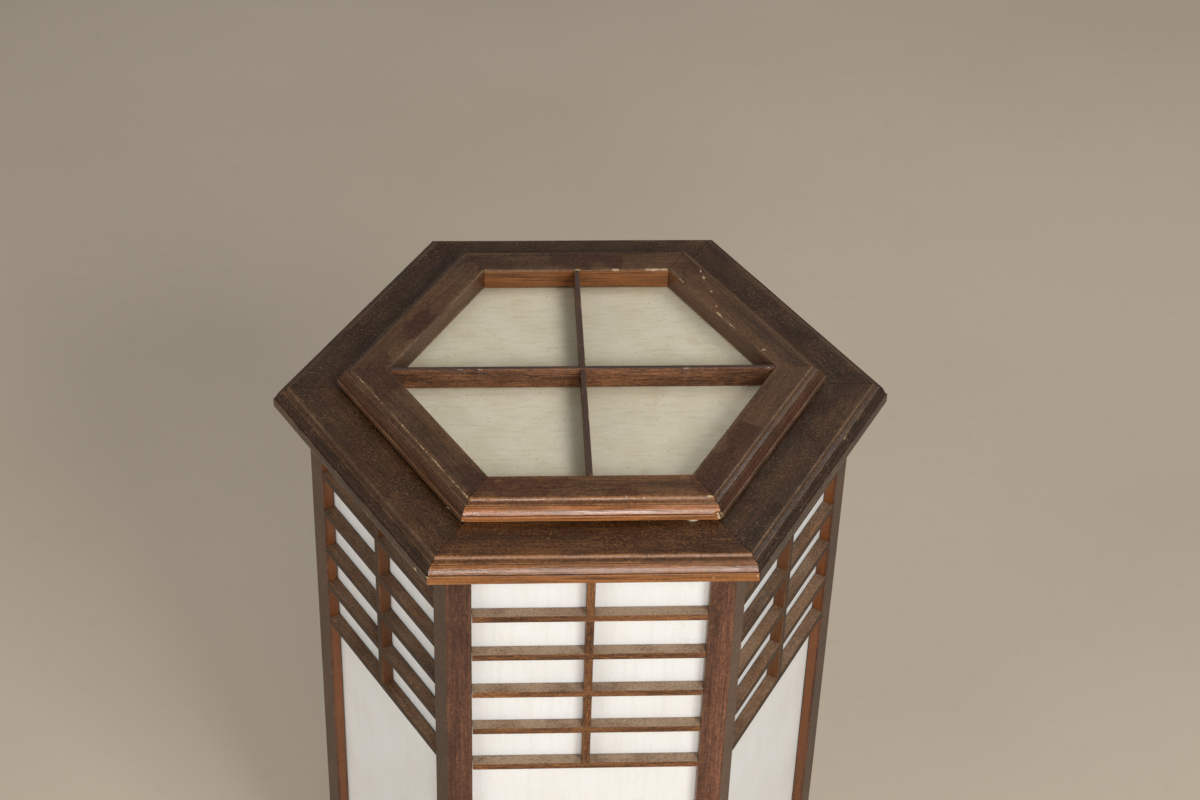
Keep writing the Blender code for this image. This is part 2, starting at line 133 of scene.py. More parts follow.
def woodFinish(look):
    made, tree, shader = newFinish(look["name"])
    grain = attribute(tree, "grain").outputs["Vector"]
    tint, edge, nick, tone, copy = (
        attribute(tree, label).outputs["Fac"] for label in ("tint", "edge", "nick", "tone", "copy")
    )
    place = put(tree, "ShaderNodeTexCoord").outputs["Object"]
    facing = put(tree, "ShaderNodeNewGeometry").outputs["Normal"]
    sideways, _, up = put(tree, "ShaderNodeSeparateXYZ", {0: facing}).outputs
    own = vectorCalc(tree, "ADD", grain, stretch(tree, (11.3, 5.1, 7.7), tint))

    # noise drawn out along the grain, in waves per grain length along it and across it
    def fibre(along, across, detail, distortion=0.0):
        size = look["grain"]
        scaled = vectorCalc(tree, "MULTIPLY", own, (size * along, size * across, size * across))
        return noiseOf(tree, scaled, 1.0, detail, distortion)

    def times(first, second):
        return calc(tree, "MULTIPLY", first, second)

    figure = fibre(0.5, 4, 4.0, 0.4)
    streak = fibre(1.6, 60, 4.0)
    dash = fibre(10, 80, 2.0)
    grit = noiseOf(tree, place, look["gritScale"], 3.0)
    mottle = calc(tree, "MULTIPLY_ADD", streak, 0.5, times(figure, 0.5))
    ramp = put(tree, "ShaderNodeValToRGB", {0: mottle})
    stops = ramp.color_ramp.elements
    stops[0].position, stops[0].color = 0.38, look["dark"]
    stops[1].position, stops[1].color = 0.63, look["light"]
    stops.new(0.50).color = look["mid"]
    pores = times(window(tree, dash, 0.44, 0.34), look["pores"])
    colour = over(tree, pores, ramp.outputs[0], look["dark"])
    # patches where the old polish is whole
    polish = times(window(tree, noiseOf(tree, place, 26.0, 4.0), 0.53, 0.57), look["polish"])
    colour = over(tree, polish, colour, look["polishColour"])
    # stain worn off the ridges of the grain, and thin on the mouldings, most of all on the front
    patchy = window(tree, noiseOf(tree, place, 44.0, 4.0), 0.36, 0.64, 0.15, 1.0)
    flecks = times(times(window(tree, dash, 0.56, 0.68), patchy), look["flecks"])
    colour = over(tree, flecks, colour, look["fleckColour"])
    thin = times(calc(tree, "MAXIMUM", tone, 0.0), bySide(tree, copy, *look["thinBySide"]))
    thin = calc(tree, "MINIMUM", calc(tree, "MAXIMUM", thin, calc(tree, "SUBTRACT", tone, 1.0)), 1.0)
    bared = over(tree, window(tree, mottle, 0.32, 0.50, 0.35, 1.0), look["mid"], look["thin"])
    colour = over(tree, thin, colour, bared)
    # painted shade: faces that look to the sides are drawn darker and greyer
    sideShade = times(window(tree, calc(tree, "ABSOLUTE", sideways), 0.35, 0.80), look["sideShadeShare"])
    sideShade = times(sideShade, calc(tree, "SUBTRACT", 1.0, times(thin, look["sheltered"])))
    colour = over(tree, sideShade, colour, look["sideShade"])
    # the grain still draws lines where the stain is thin or in the painted side shade
    lines = calc(tree, "MAXIMUM", window(tree, streak, 0.55, 0.40), pores)
    lines = times(lines, calc(tree, "MAXIMUM", thin, sideShade))
    veins = times(window(tree, fibre(1.2, 22, 3.0), 0.54, 0.42), sideShade)
    lines = times(calc(tree, "MAXIMUM", lines, veins), look.get("lines", 0.0))
    colour = over(tree, lines, colour, look["darkestTone"])
    value = window(tree, tint, 0.0, 1.0, 1 - look["spread"], 1 + look["spread"])
    gritty = window(tree, grit, 0.28, 0.72, -look["grit"], look["grit"])
    gritty = times(gritty, window(tree, thin, 0.0, 1.0, 1.0, 0.3))
    value = times(value, calc(tree, "ADD", gritty, 1.0))
    # painted light and shade: each side's copies are drawn lighter or darker as the light falls on that side
    value = times(value, bySide(tree, copy, *look["lightAndShadeBySide"]))
    colour = put(tree, "ShaderNodeHueSaturation", {"Value": value, "Color": colour}).outputs[0]
    # dust lies on what faces up, in clouds and grains, and silts up the sunk shelf
    cloud = window(tree, noiseOf(tree, place, 34.0, 6.0), 0.30, 0.70, 0.35, 1.0)
    grains = window(tree, grit, 0.32, 0.68, 0.45, 1.0)
    dusty = times(times(window(tree, up, 0.80, 0.97), cloud), bySide(tree, copy, *look["dustBySide"]))
    dusty = times(dusty, calc(tree, "SUBTRACT", 1.0, times(polish, 0.8)))
    colour = over(tree, times(dusty, grains), colour, look["dustColour"])
    behind = bySide(tree, copy, 0.0, 1.0, 1.0)
    specks = times(window(tree, noiseOf(tree, place, 780.0, 2.0), 0.60, 0.68), times(patchy, look["specks"]))
    colour = over(tree, specks, colour, over(tree, behind, look["fleckColour"], look["greyWear"]))
    # on the lattice the sunk share paints the stile's side faces: painted shade
    sunk = times(calc(tree, "MINIMUM", tone, 0.0), -look["sunk"])
    colour = over(tree, times(sunk, grains), colour, over(tree, behind, look["siltAndShade"], look["greySiltAndShade"]))
    # darker in the narrow hollows, bare wood along the arrises
    hollow = times(window(tree, edge, -0.3, -1.0), 0.85)
    colour = over(tree, hollow, colour, look["darkestTone"])
    rubbed = times(times(window(tree, edge, 0.0, 0.8), patchy), grains)
    wear = over(tree, behind, look["wear"], look["greyWear"])
    colour = over(tree, times(rubbed, look["rubbed"]), colour, wear)
    ragged = calc(tree, "MULTIPLY_ADD", noiseOf(tree, place, 1000.0, 3.0), 0.9, nick)
    chip = times(window(tree, ragged, 0.80, 0.90), window(tree, nick, 0.05, 0.2))
    colour = over(tree, chip, colour, look["bare"])
    # dust and open grain are dull, polish and thin stain shine
    rough = look["roughness"]
    duller = (
        (calc(tree, "MINIMUM", dusty, 1.0), 0.30), (streak, 0.12), (polish, -0.12), (behind, 0.03),
        (thin, -0.09),
    )
    for share, amount in duller:
        rough = calc(tree, "MULTIPLY_ADD", share, amount, rough)
    relief = calc(tree, "MULTIPLY_ADD", dash, 0.7, times(streak, 0.6))
    relief = calc(tree, "MULTIPLY_ADD", times(grit, dusty), 1.2, relief)
    feed(tree, shader, {
        "Base Color": colour, "Roughness": rough, "Specular IOR Level": look["gloss"],
        "Normal": bumpOf(tree, look["relief"], 0.0004, relief),
    })
    return made


def washiFinish(look):
    made, tree, shader = newFinish(look["name"])
    spot = attribute(tree, "grain").outputs["Vector"]
    cloud = noiseOf(tree, spot, look["clouds"], 6.0)
    laid = noiseOf(tree, vectorCalc(tree, "MULTIPLY", spot, look["laid"]), 1.0, 4.0, 0.3)
    # long fibres: the thin lines where a bent noise crosses its middle value
    bent = noiseOf(tree, vectorCalc(tree, "MULTIPLY", spot, look["fibres"]), 1.0, 2.0, 1.2)
    line = window(tree, calc(tree, "ABSOLUTE", calc(tree, "SUBTRACT", bent, 0.5)), 0.0, 0.012, 1.0, 0.0)
    line = calc(tree, "MULTIPLY", line, window(tree, noiseOf(tree, spot, 60.0, 2.0), 0.5, 0.62))
    fleck = window(tree, noiseOf(tree, spot, 420.0, 1.0), 0.70, 0.76)
    pulp = noiseOf(tree, spot, 700.0, 3.0)
    stain = window(tree, noiseOf(tree, spot, 30.0, 4.0), 0.58, 0.78)
    smudge = window(tree, noiseOf(tree, spot, 45.0, 4.0), 0.25, 0.75, 0.5, 1.0)
    # painted shade and dirt along the wood, broken up by smudges
    shadeAndDirtByWood = calc(tree, "MULTIPLY", attribute(tree, "shadeAndDirt").outputs["Fac"], smudge)
    colour = over(tree, window(tree, cloud, 0.3, 0.72), look["pale"], look["deep"])
    marks = (
        (window(tree, pulp, 0.40, 0.72), "pulp", "shade"),
        (window(tree, laid, 0.45, 0.75), "streaks", "shade"),
        (line, "strands", "strand"),
        (stain, "stains", "stain"),
        (fleck, "flecks", "fleck"),
        (shadeAndDirtByWood, "shadeAndDirt", "shade"),
    )
    for share, amount, tone in marks:
        colour = over(tree, calc(tree, "MULTIPLY", share, look[amount]), colour, look[tone])
    relief = calc(tree, "ADD", calc(tree, "MULTIPLY", laid, 0.6), calc(tree, "MULTIPLY", line, 0.5))
    relief = calc(tree, "MULTIPLY_ADD", pulp, 0.4, relief)
    feed(tree, shader, {
        "Base Color": colour, "Roughness": 0.88, "Specular IOR Level": 0.2,
        "Normal": bumpOf(tree, 0.2, 0.0002, relief),
    })
    return made


def plainFinish(look):
    made, tree, shader = newFinish(look["name"])
    place = put(tree, "ShaderNodeTexCoord").outputs["Object"]
    cloud = noiseOf(tree, place, look["cloudScale"], 5.0)
    fine = noiseOf(tree, place, look["fineScale"], 3.0)
    colour = over(tree, window(tree, cloud, 0.32, 0.7), look["light"], look["dark"])
    spots = calc(tree, "MULTIPLY", window(tree, fine, 0.55, 0.75), look["fine"])
    feed(tree, shader, {
        "Base Color": over(tree, spots, colour, look["spot"]),
        "Roughness": calc(tree, "MULTIPLY_ADD", cloud, 0.16, look["roughness"]),
        "Metallic": look.get("metal", 0.0), "Transmission Weight": look.get("clear", 0.0),
        "Normal": bumpOf(tree, look["relief"], 0.0003, fine),
    })
    return made


mouldingLook = {
    "name": "moulding_wood", "grain": 16.0, "dark": rgb(48, 27, 14), "mid": rgb(76, 45, 24),
    "light": rgb(106, 66, 35), "pores": 0.6, "polish": 0.45, "polishColour": rgb(64, 36, 20), "flecks": 0.35,
    "fleckColour": rgb(148, 104, 56), "specks": 1.0, "thin": rgb(137, 84, 40),
    "thinBySide": (0.95, 0.10, 0.10), "lines": 0.55, "sideShade": rgb(58, 34, 22), "sideShadeShare": 0.85,
    "sheltered": 0.0, "spread": 0.08, "grit": 0.42,
    "gritScale": 520.0, "lightAndShadeBySide": (1.17, 0.61, 0.91), "dustBySide": (0.25, 0.45, 0.55),
    "dustColour": rgb(94, 71, 45), "sunk": 0.9, "siltAndShade": rgb(146, 98, 58), "greySiltAndShade": rgb(100, 74, 53),
    "darkestTone": rgb(40, 26, 17), "rubbed": 0.85, "wear": rgb(170, 116, 70), "greyWear": rgb(132, 101, 73),
    "bare": rgb(198, 170, 130), "roughness": 0.28, "gloss": 0.45, "relief": 0.25,
}
lidLookOver = {
    "name": "lid_wood", "dark": rgb(56, 34, 20), "mid": rgb(87, 57, 34), "light": rgb(114, 77, 48),
    "polish": 0.7, "polishColour": rgb(70, 39, 26), "flecks": 0.25, "thin": rgb(149, 91, 47),
    "thinBySide": (0.95, 0.35, 0.55), "sideShade": rgb(82, 51, 35), "sideShadeShare": 0.8,
    "lightAndShadeBySide": (1.60, 1.02, 0.90),
    "dustColour": rgb(104, 80, 56), "rubbed": 1.0, "specks": 0.45, "grit": 0.30,
}
mouldingWood = woodFinish(mouldingLook)
lidWood = woodFinish({**mouldingLook, **lidLookOver})
frameWood = woodFinish({
    "name": "frame_wood", "grain": 14.0, "dark": rgb(64, 36, 24), "mid": rgb(92, 57, 41),
    "light": rgb(120, 78, 57), "pores": 0.55, "polish": 0.2, "polishColour": rgb(88, 50, 34), "flecks": 0.35,
    "fleckColour": rgb(160, 102, 60), "specks": 0.45, "thin": rgb(142, 82, 39), "thinBySide": (0.9, 0.8, 0.6),
    "sideShade": rgb(88, 72, 59), "sideShadeShare": 0.75, "sheltered": 1.0, "spread": 0.10, "grit": 0.30,
    "gritScale": 560.0, "lightAndShadeBySide": (0.64, 0.78, 1.17), "dustBySide": (0.4, 0.4, 0.4),
    "dustColour": rgb(104, 86, 68), "sunk": 0.6, "siltAndShade": rgb(74, 56, 42), "greySiltAndShade": rgb(74, 60, 48),
    "darkestTone": rgb(40, 25, 17), "rubbed": 0.4, "wear": rgb(134, 88, 58), "greyWear": rgb(120, 84, 60),
    "bare": rgb(196, 162, 122), "roughness": 0.40, "gloss": 0.35, "relief": 0.25,
})
latticeWood = woodFinish({
    "name": "lattice_wood", "grain": 20.0, "dark": rgb(62, 34, 18), "mid": rgb(110, 70, 40),
    "light": rgb(150, 100, 60), "pores": 0.8, "polish": 0.0, "polishColour": rgb(92, 54, 38), "flecks": 0.8,
    "fleckColour": rgb(182, 120, 60), "specks": 0.5, "thin": rgb(124, 73, 35), "thinBySide": (0.6, 0.35, 0.8),
    "sideShade": rgb(56, 42, 32), "sideShadeShare": 0.85, "sheltered": 1.0, "spread": 0.12, "grit": 0.32,
    "gritScale": 760.0, "lightAndShadeBySide": (0.88, 0.80, 0.80), "dustBySide": (1.6, 0.62, 0.45),
    "dustColour": rgb(176, 152, 127), "sunk": 0.95, "siltAndShade": rgb(116, 72, 38), "greySiltAndShade": rgb(98, 57, 30),
    "darkestTone": rgb(48, 31, 20), "rubbed": 0.3, "wear": rgb(136, 92, 54), "greyWear": rgb(110, 86, 62),
    "bare": rgb(206, 178, 142), "roughness": 0.44, "gloss": 0.3, "relief": 0.3,
})
lidBarWood = woodFinish({
    "name": "lid_bar_wood", "grain": 20.0, "dark": rgb(60, 36, 24), "mid": rgb(103, 68, 46),
    "light": rgb(148, 100, 66), "pores": 0.8, "polish": 0.0, "polishColour": rgb(92, 54, 38), "flecks": 0.5,
    "fleckColour": rgb(164, 106, 62), "specks": 0.3, "thin": rgb(150, 96, 50), "thinBySide": (0.7, 0.7, 0.7),
    "sideShade": rgb(80, 59, 47), "sideShadeShare": 0.5, "sheltered": 0.0, "spread": 0.05, "grit": 0.26,
    "gritScale": 700.0, "lightAndShadeBySide": (1.0, 1.0, 1.0), "dustBySide": (2.4, 2.4, 2.4),
    "dustColour": rgb(86, 70, 63), "sunk": 0.6, "siltAndShade": rgb(74, 58, 46), "greySiltAndShade": rgb(74, 58, 46),
    "darkestTone": rgb(44, 29, 20), "rubbed": 0.25, "wear": rgb(112, 84, 64), "greyWear": rgb(112, 84, 64),
    "bare": rgb(206, 184, 152), "roughness": 0.46, "gloss": 0.3, "relief": 0.3,
})
plankWood = woodFinish({
    "name": "plank_wood", "grain": 12.0, "dark": rgb(150, 112, 72), "mid": rgb(182, 144, 98),
    "light": rgb(206, 172, 126), "pores": 0.5, "polish": 0.0, "polishColour": rgb(182, 144, 98),
    "flecks": 0.2, "fleckColour": rgb(212, 182, 138), "specks": 0.1, "thin": rgb(206, 172, 126),
    "thinBySide": (0.0, 0.0, 0.0),
    "sideShade": rgb(176, 142, 100), "sideShadeShare": 0.2, "sheltered": 0.0, "spread": 0.05, "grit": 0.10,
    "gritScale": 700.0, "lightAndShadeBySide": (1.0, 1.0, 1.0), "dustBySide": (0.35, 0.35, 0.35),
    "dustColour": rgb(176, 160, 136), "sunk": 0.0, "siltAndShade": rgb(140, 116, 86), "greySiltAndShade": rgb(140, 116, 86),
    "darkestTone": rgb(110, 84, 56), "rubbed": 0.3, "wear": rgb(214, 186, 146), "greyWear": rgb(214, 186, 146),
    "bare": rgb(220, 194, 156), "roughness": 0.52, "gloss": 0.3, "relief": 0.2,
})
sideWashi = washiFinish({
    "name": "side_washi", "clouds": 22.0, "laid": (240, 16, 1), "fibres": (70, 22, 1),
    "pale": rgb(240, 240, 238), "deep": rgb(235, 234, 230), "streaks": 0.22, "shade": rgb(214, 211, 203),
    "strands": 0.18, "strand": rgb(206, 201, 190), "pulp": 0.20, "stains": 0.45, "stain": rgb(238, 230, 211),
    "flecks": 0.30, "fleck": rgb(196, 184, 162), "shadeAndDirt": 0.10,
})
lidWashi = washiFinish({
    "name": "lid_washi", "clouds": 40.0, "laid": (60, 320, 1), "fibres": (60, 130, 1),
    "pale": rgb(252, 244, 219), "deep": rgb(245, 234, 204), "streaks": 0.24, "shade": rgb(196, 180, 142),
    "strands": 0.20, "strand": rgb(180, 162, 126), "pulp": 0.16, "stains": 0.50, "stain": rgb(222, 203, 162),
    "flecks": 0.45, "fleck": rgb(142, 116, 78), "shadeAndDirt": 1.0,
})
padFelt = plainFinish({
    "name": "pad_felt", "light": rgb(206, 194, 170), "dark": rgb(178, 164, 138), "spot": rgb(150, 136, 112),
    "fine": 0.6, "cloudScale": 400.0, "fineScale": 2600.0, "roughness": 0.82, "relief": 0.6,
})
glazedCeramic = plainFinish({
    "name": "glazed_ceramic", "light": rgb(232, 228, 218), "dark": rgb(220, 215, 203),
    "spot": rgb(196, 188, 172), "fine": 0.2, "cloudScale": 60.0, "fineScale": 700.0,
    "roughness": 0.16, "relief": 0.04,
})
oldBrass = plainFinish({
    "name": "old_brass", "light": rgb(206, 172, 104), "dark": rgb(172, 136, 76), "spot": rgb(110, 82, 46),
    "fine": 0.5, "cloudScale": 120.0, "fineScale": 1400.0, "roughness": 0.26, "relief": 0.06, "metal": 1.0,
})
screwSteel = plainFinish({
    "name": "screw_steel", "light": rgb(188, 186, 180), "dark": rgb(158, 155, 148), "spot": rgb(104, 92, 76),
    "fine": 0.4, "cloudScale": 160.0, "fineScale": 1600.0, "roughness": 0.28, "relief": 0.08, "metal": 1.0,
})
frostedGlass = plainFinish({
    "name": "frosted_glass", "light": rgb(244, 243, 238), "dark": rgb(236, 234, 228),
    "spot": rgb(222, 219, 210), "fine": 0.3, "cloudScale": 50.0, "fineScale": 900.0,
    "roughness": 0.42, "relief": 0.03, "clear": 0.25,
})
print("finishes ready:", len(bpy.data.materials))


# sections and copies taken from the frame's own nodes

def welded(node):
    bm = bmesh.new()
    bm.from_mesh(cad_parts[node].data)
    bmesh.ops.remove_doubles(bm, verts=bm.verts, dist=1e-5)
    bmesh.ops.dissolve_limit(bm, angle_limit=0.02, verts=bm.verts, edges=bm.edges)
    return bm


def meshOf(bm, name):
    mesh = bpy.data.meshes.new(name)
    bm.to_mesh(mesh)
    bm.free()
    return mesh


def cornersOf(node):
    return [corner.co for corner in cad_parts[node].data.vertices]


def anticlockwise(outline):
    area = sum(a[0] * b[1] - b[0] * a[1] for a, b in zip(outline, outline[1:] + outline[:1]))
    return outline if area > 0 else outline[::-1]


# the end face of a node, as an outline in the two directions across it
def endSection(node, along, flatten):
    bm = welded(node)
    end = min(bm.faces, key=lambda face: face.normal[along])
    section = [flatten(corner.co) for corner in end.verts]
    bm.free()
    return anticlockwise(section)


def railSection(node):
    return endSection(node, 0, lambda place: (-place.y, place.z))


def postSection(node):
    return endSection(node, 2, lambda place: (place.x, place.y))


# how far an outline turns at a corner, more than 0 on an arris and less than 0 in a hollow
def turnAt(outline, i):
    here = Vector(outline[i])
    back = here - Vector(outline[i - 1])
    ahead = Vector(outline[(i + 1) % len(outline)]) - here
    turn = back.angle(ahead)
    return turn if back.x * ahead.y - back.y * ahead.x > 0 else -turn


# angles in degrees, narrow in metres, reach and guard as shares of the shorter run beside a corner
rounding = {"sharp": 40, "slight": 20, "narrow": 0.002, "reach": 0.38, "guard": 0.48, "guardRadius": 2.2}


# rounds the sharp corners of an outline: (point, edge) pairs, edge 1 on an arris and -1 in a narrow hollow
def softened(outline, radius):
    count = len(outline)
    made = []
    for i in range(count):
        here = Vector(outline[i])
        back = Vector(outline[i - 1]) - here
        ahead = Vector(outline[(i + 1) % count]) - here
        turn = turnAt(outline, i)
        shorter = min(back.length, ahead.length)
        mark = 1.0 if turn > 0 else -1.0 if shorter < rounding["narrow"] else -0.2
        if abs(turn) < math.radians(rounding["sharp"]):
            made.append((here, mark if abs(turn) > math.radians(rounding["slight"]) else 0.0))
            continue
        reach = min(radius, shorter * rounding["reach"])
        guard = min(reach * rounding["guardRadius"], shorter * rounding["guard"])
        start, end = here + back.normalized() * reach, here + ahead.normalized() * reach
        made.append((here + back.normalized() * guard, max(0.0, mark * 0.3)))
        for t in (0.0, 0.33, 0.67, 1.0):
            bend = start * (1 - t) ** 2 + here * 2 * t * (1 - t) + end * t * t
            made.append((bend, mark * (0.5 + 2 * t * (1 - t))))
        made.append((here + ahead.normalized() * guard, max(0.0, mark * 0.3)))
    return made


# splits the long straight runs of a softened outline, so that chips have points to sink
def divided(ring, span):
    made = []
    for (here, mark), (ahead, _) in zip(ring, ring[1:] + ring[:1]):
        made.append((here, mark))
        steps = int((ahead - here).length / span)
        made.extend((here.lerp(ahead, i / (steps + 1)), 0.0) for i in range(1, steps + 1))
    return made


def noTone(point):
    return 0.0


ovoloSteps = 8


# gives a rail's outer edge its finer moulding: fillet, shallow ovolo, groove, sloping shelf, step and flat
def moulded(outline, sizes):
    edge, top = max(outline)[0], max(height for _, height in outline)
    filletFoot = min(height for out, height in outline if out > edge - 0.0001)
    bends = {name: Vector((edge - back, top - drop)) for name, (back, drop) in sizes["corners"].items()}
    flatEnd, head, foot = bends["flatEnd"], bends["ovoloHead"], bends["ovoloFoot"]
    plain = [point for point in outline if point[0] < flatEnd.x - 0.001 or point[1] < filletFoot + 0.0001]
    outward = Vector((head.y - foot.y, foot.x - head.x)).normalized()
    made = [Vector((edge, foot.y))]
    for i in range(ovoloSteps + 1):
        t = i / ovoloSteps
        made.append(foot.lerp(head, t) + outward * sizes["bulge"] * 4 * t * (1 - t))
    made += [bends["groove"], bends["shelfEnd"], bends["stepFoot"], flatEnd]
    joint = plain.index(max(plain)) + 1
    return plain[:joint] + [tuple(point) for point in made] + plain[joint:]


# how a moulding has aged: thin stain on fillet, ovolo and inner wall, dirt on the step and shelf
def mouldingTone(outline, sizes, aged):
    edge, top = max(outline)[0], max(height for _, height in outline)
    inner = min(outline)[0]
    nearly = 0.00004
    ends = {name: edge - back + nearly for name, (back, _) in sizes["corners"].items()}
    filletTop = top - sizes["corners"]["ovoloFoot"][1] + nearly

    def toneOf(point):
        if point.x > ends["ovoloFoot"] and point.y < filletTop:
            return aged["fillet"]
        if point.x > ends["groove"]:
            return aged["ovolo"]
        if point.x > ends["stepFoot"]:
            return aged["shelf"]
        if point.x > ends["flatEnd"] - 0.0009 and point.y < top - nearly:
            return aged["step"]
        if point.x < inner + nearly and point.y < top - nearly:
            return aged["inside"]
        return 0.0

    return toneOf


def sectionMesh(name, outline, look, upright, toneOf):
    ring = divided(softened(outline, look["arris"]), look.get("span", 1.0))
    if upright:
        points = [(point.x, point.y, 0) for point, _ in ring]
    else:
        ring = ring[::-1]
        points = [(point.x, -point.y, 0) for point, _ in ring]
    mesh = bpy.data.meshes.new(name)
    mesh.from_pydata(points, [(i, (i + 1) % len(points)) for i in range(len(points))], [])
    shares = {"edge": [mark for _, mark in ring], "tone": [toneOf(point) for point, _ in ring]}
    for label, values in shares.items():
        mesh.attributes.new(label, "FLOAT", "POINT").data.foreach_set("value", values)
    return mesh


# Geometry Nodes: one tree sweeps a section along a straight line, mitres it, repeats it and wears it

def newTree(name, sizes):
    tree = bpy.data.node_groups.new(name, "GeometryNodeTree")
    tree.interface.new_socket("Geometry", in_out="OUTPUT", socket_type="NodeSocketGeometry")
    tree.interface.new_socket("Geometry", in_out="INPUT", socket_type="NodeSocketGeometry")
    for label, kind in sizes:
        tree.interface.new_socket(label, in_out="INPUT", socket_type="NodeSocket" + kind)
    return tree, put(tree, "NodeGroupInput").outputs, put(tree, "NodeGroupOutput").inputs


def keep(tree, geometry, name, value, kind="FLOAT", domain="POINT"):
    inputs = {"Geometry": geometry, "Name": name, "Value": value}
    return put(tree, "GeometryNodeStoreNamedAttribute", inputs, data_type=kind, domain=domain).outputs[0]


def named(tree, name):
    return put(tree, "GeometryNodeInputNamedAttribute", {"Name": name}, data_type="FLOAT").outputs[0]


def moved(tree, geometry, **inputs):
    return put(tree, "GeometryNodeSetPosition", {"Geometry": geometry, **inputs}).outputs[0]


def clad(tree, geometry, finish):
    return put(tree, "GeometryNodeSetMaterial", {"Geometry": geometry, "Material": finish}).outputs[0]


def repeat(tree, geometry, count, offset, turn, label):
    points = put(tree, "GeometryNodeMeshLine", {"Count": count, "Offset": offset}).outputs[0]
    index = put(tree, "GeometryNodeInputIndex").outputs[0]
    spin = put(tree, "ShaderNodeCombineXYZ", {2: calc(tree, "MULTIPLY", index, turn)}).outputs[0]
    inputs = {"Points": points, "Instance": geometry, "Rotation": spin}
    copies = put(tree, "GeometryNodeInstanceOnPoints", inputs).outputs[0]
    copies = keep(tree, copies, label, index, domain="INSTANCE")
    return put(tree, "GeometryNodeRealizeInstances", {0: copies}).outputs[0]


# noise that bites nicks out of the arrises, and noise that bends a timber
timberWear = {"biteScale": 170.0, "biteFrom": 0.78, "biteTo": 0.80, "swayScale": 14.0}


def timberTree():
    tree, given, result = newTree("timber", [
        ("Stations", "Int"), ("Start", "Vector"), ("End", "Vector"), ("Mitre", "Float"),
        ("Mitre Gap", "Float"), ("Rows", "Int"), ("Row Step", "Vector"), ("Copies", "Int"),
        ("Upright", "Float"), ("Unevenness", "Float"), ("Nick Depth", "Float"), ("Nick Share", "Float"),
        ("Seed", "Int"), ("Wood", "Material"),
    ])
    section = put(tree, "GeometryNodeMeshToCurve", {0: given["Geometry"]}).outputs[0]
    inputs = {"Start": given["Start"], "End": given["End"]}
    path = put(tree, "GeometryNodeCurvePrimitiveLine", inputs).outputs[0]
    path = put(tree, "GeometryNodeResampleCurve", {"Curve": path, "Count": given["Stations"]}).outputs[0]
    inputs = {"Curve": path, "Profile Curve": section, "Fill Caps": True}
    swept = put(tree, "GeometryNodeCurveToMesh", inputs).outputs[0]
    position = put(tree, "GeometryNodeInputPosition").outputs[0]
    x, y, z = put(tree, "ShaderNodeSeparateXYZ", {0: position}).outputs
    half = calc(tree, "SUBTRACT", calc(tree, "MULTIPLY", y, -tan30), given["Mitre Gap"])
    stretchX = calc(tree, "MULTIPLY_ADD", calc(tree, "SUBTRACT", half, 1.0), given["Mitre"], 1.0)
    drawn = calc(tree, "MULTIPLY", x, stretchX)
    mitred = put(tree, "ShaderNodeCombineXYZ", {0: drawn, 1: y, 2: z}).outputs[0]
    shaped = moved(tree, swept, Position=mitred)
    standing = put(tree, "ShaderNodeCombineXYZ", {0: z, 1: x, 2: y}).outputs[0]
    inputs = {0: given["Upright"], 4: position, 5: standing}
    grain = put(tree, "ShaderNodeMix", inputs, data_type="VECTOR").outputs[1]
    shaped = keep(tree, shaped, "grain", grain, kind="FLOAT_VECTOR")
    shaped = repeat(tree, shaped, given["Rows"], given["Row Step"], 0.0, "row")
    shaped = repeat(tree, shaped, given["Copies"], (0, 0, 0), sixth, "copy")
    number = calc(tree, "MULTIPLY_ADD", named(tree, "row"), 16.0, named(tree, "copy"))
    chance = put(tree, "FunctionNodeRandomValue", {"ID": number, "Seed": given["Seed"]}, data_type="FLOAT")
    shaped = keep(tree, shaped, "tint", chance.outputs[1])
    # nicks eat into the arrises, then the whole timber goes slightly out of true
    edge = calc(tree, "MAXIMUM", named(tree, "edge"), 0.0)
    bite = noiseOf(tree, position, timberWear["biteScale"], 3.0)
    biteFrom = calc(tree, "SUBTRACT", timberWear["biteFrom"], given["Nick Share"])
    inputs = {"Value": bite, 1: biteFrom, 2: timberWear["biteTo"], 3: 0.0, 4: 1.0}
    nick = put(tree, "ShaderNodeMapRange", inputs).outputs[0]
    nick = calc(tree, "MULTIPLY", nick, edge)
    shaped = keep(tree, shaped, "nick", nick)
    normal = put(tree, "GeometryNodeInputNormal").outputs[0]
    inward = calc(tree, "MULTIPLY", named(tree, "nick"), calc(tree, "MULTIPLY", given["Nick Depth"], -1.0))
    shaped = moved(tree, shaped, Offset=stretch(tree, normal, inward))
    inputs = {"Vector": position, "Scale": timberWear["swayScale"], "Detail": 1.0}
    sway = put(tree, "ShaderNodeTexNoise", inputs).outputs[1]
    sway = stretch(tree, vectorCalc(tree, "SUBTRACT", sway, (0.5, 0.5, 0.5)), given["Unevenness"])
    shaped = moved(tree, shaped, Offset=sway)
    shaped = put(tree, "GeometryNodeRealizeInstances", {0: shaped}).outputs[0]
    tree.links.new(clad(tree, shaped, given["Wood"]), result["Geometry"])
    return tree


def ringTree():
    tree, given, result = newTree("ring", [("Copies", "Int"), ("Turn", "Float"), ("Finish", "Material")])
    around = repeat(tree, given["Geometry"], given["Copies"], (0, 0, 0), given["Turn"], "copy")
    tree.links.new(clad(tree, around, given["Finish"]), result["Geometry"])
    return tree


trees = {"timber": timberTree(), "ring": ringTree()}
print("node trees ready:", ", ".join(trees))


def addObject(name, mesh):
    made = bpy.data.objects.new(name, mesh)
    scene.collection.objects.link(made)
    return made


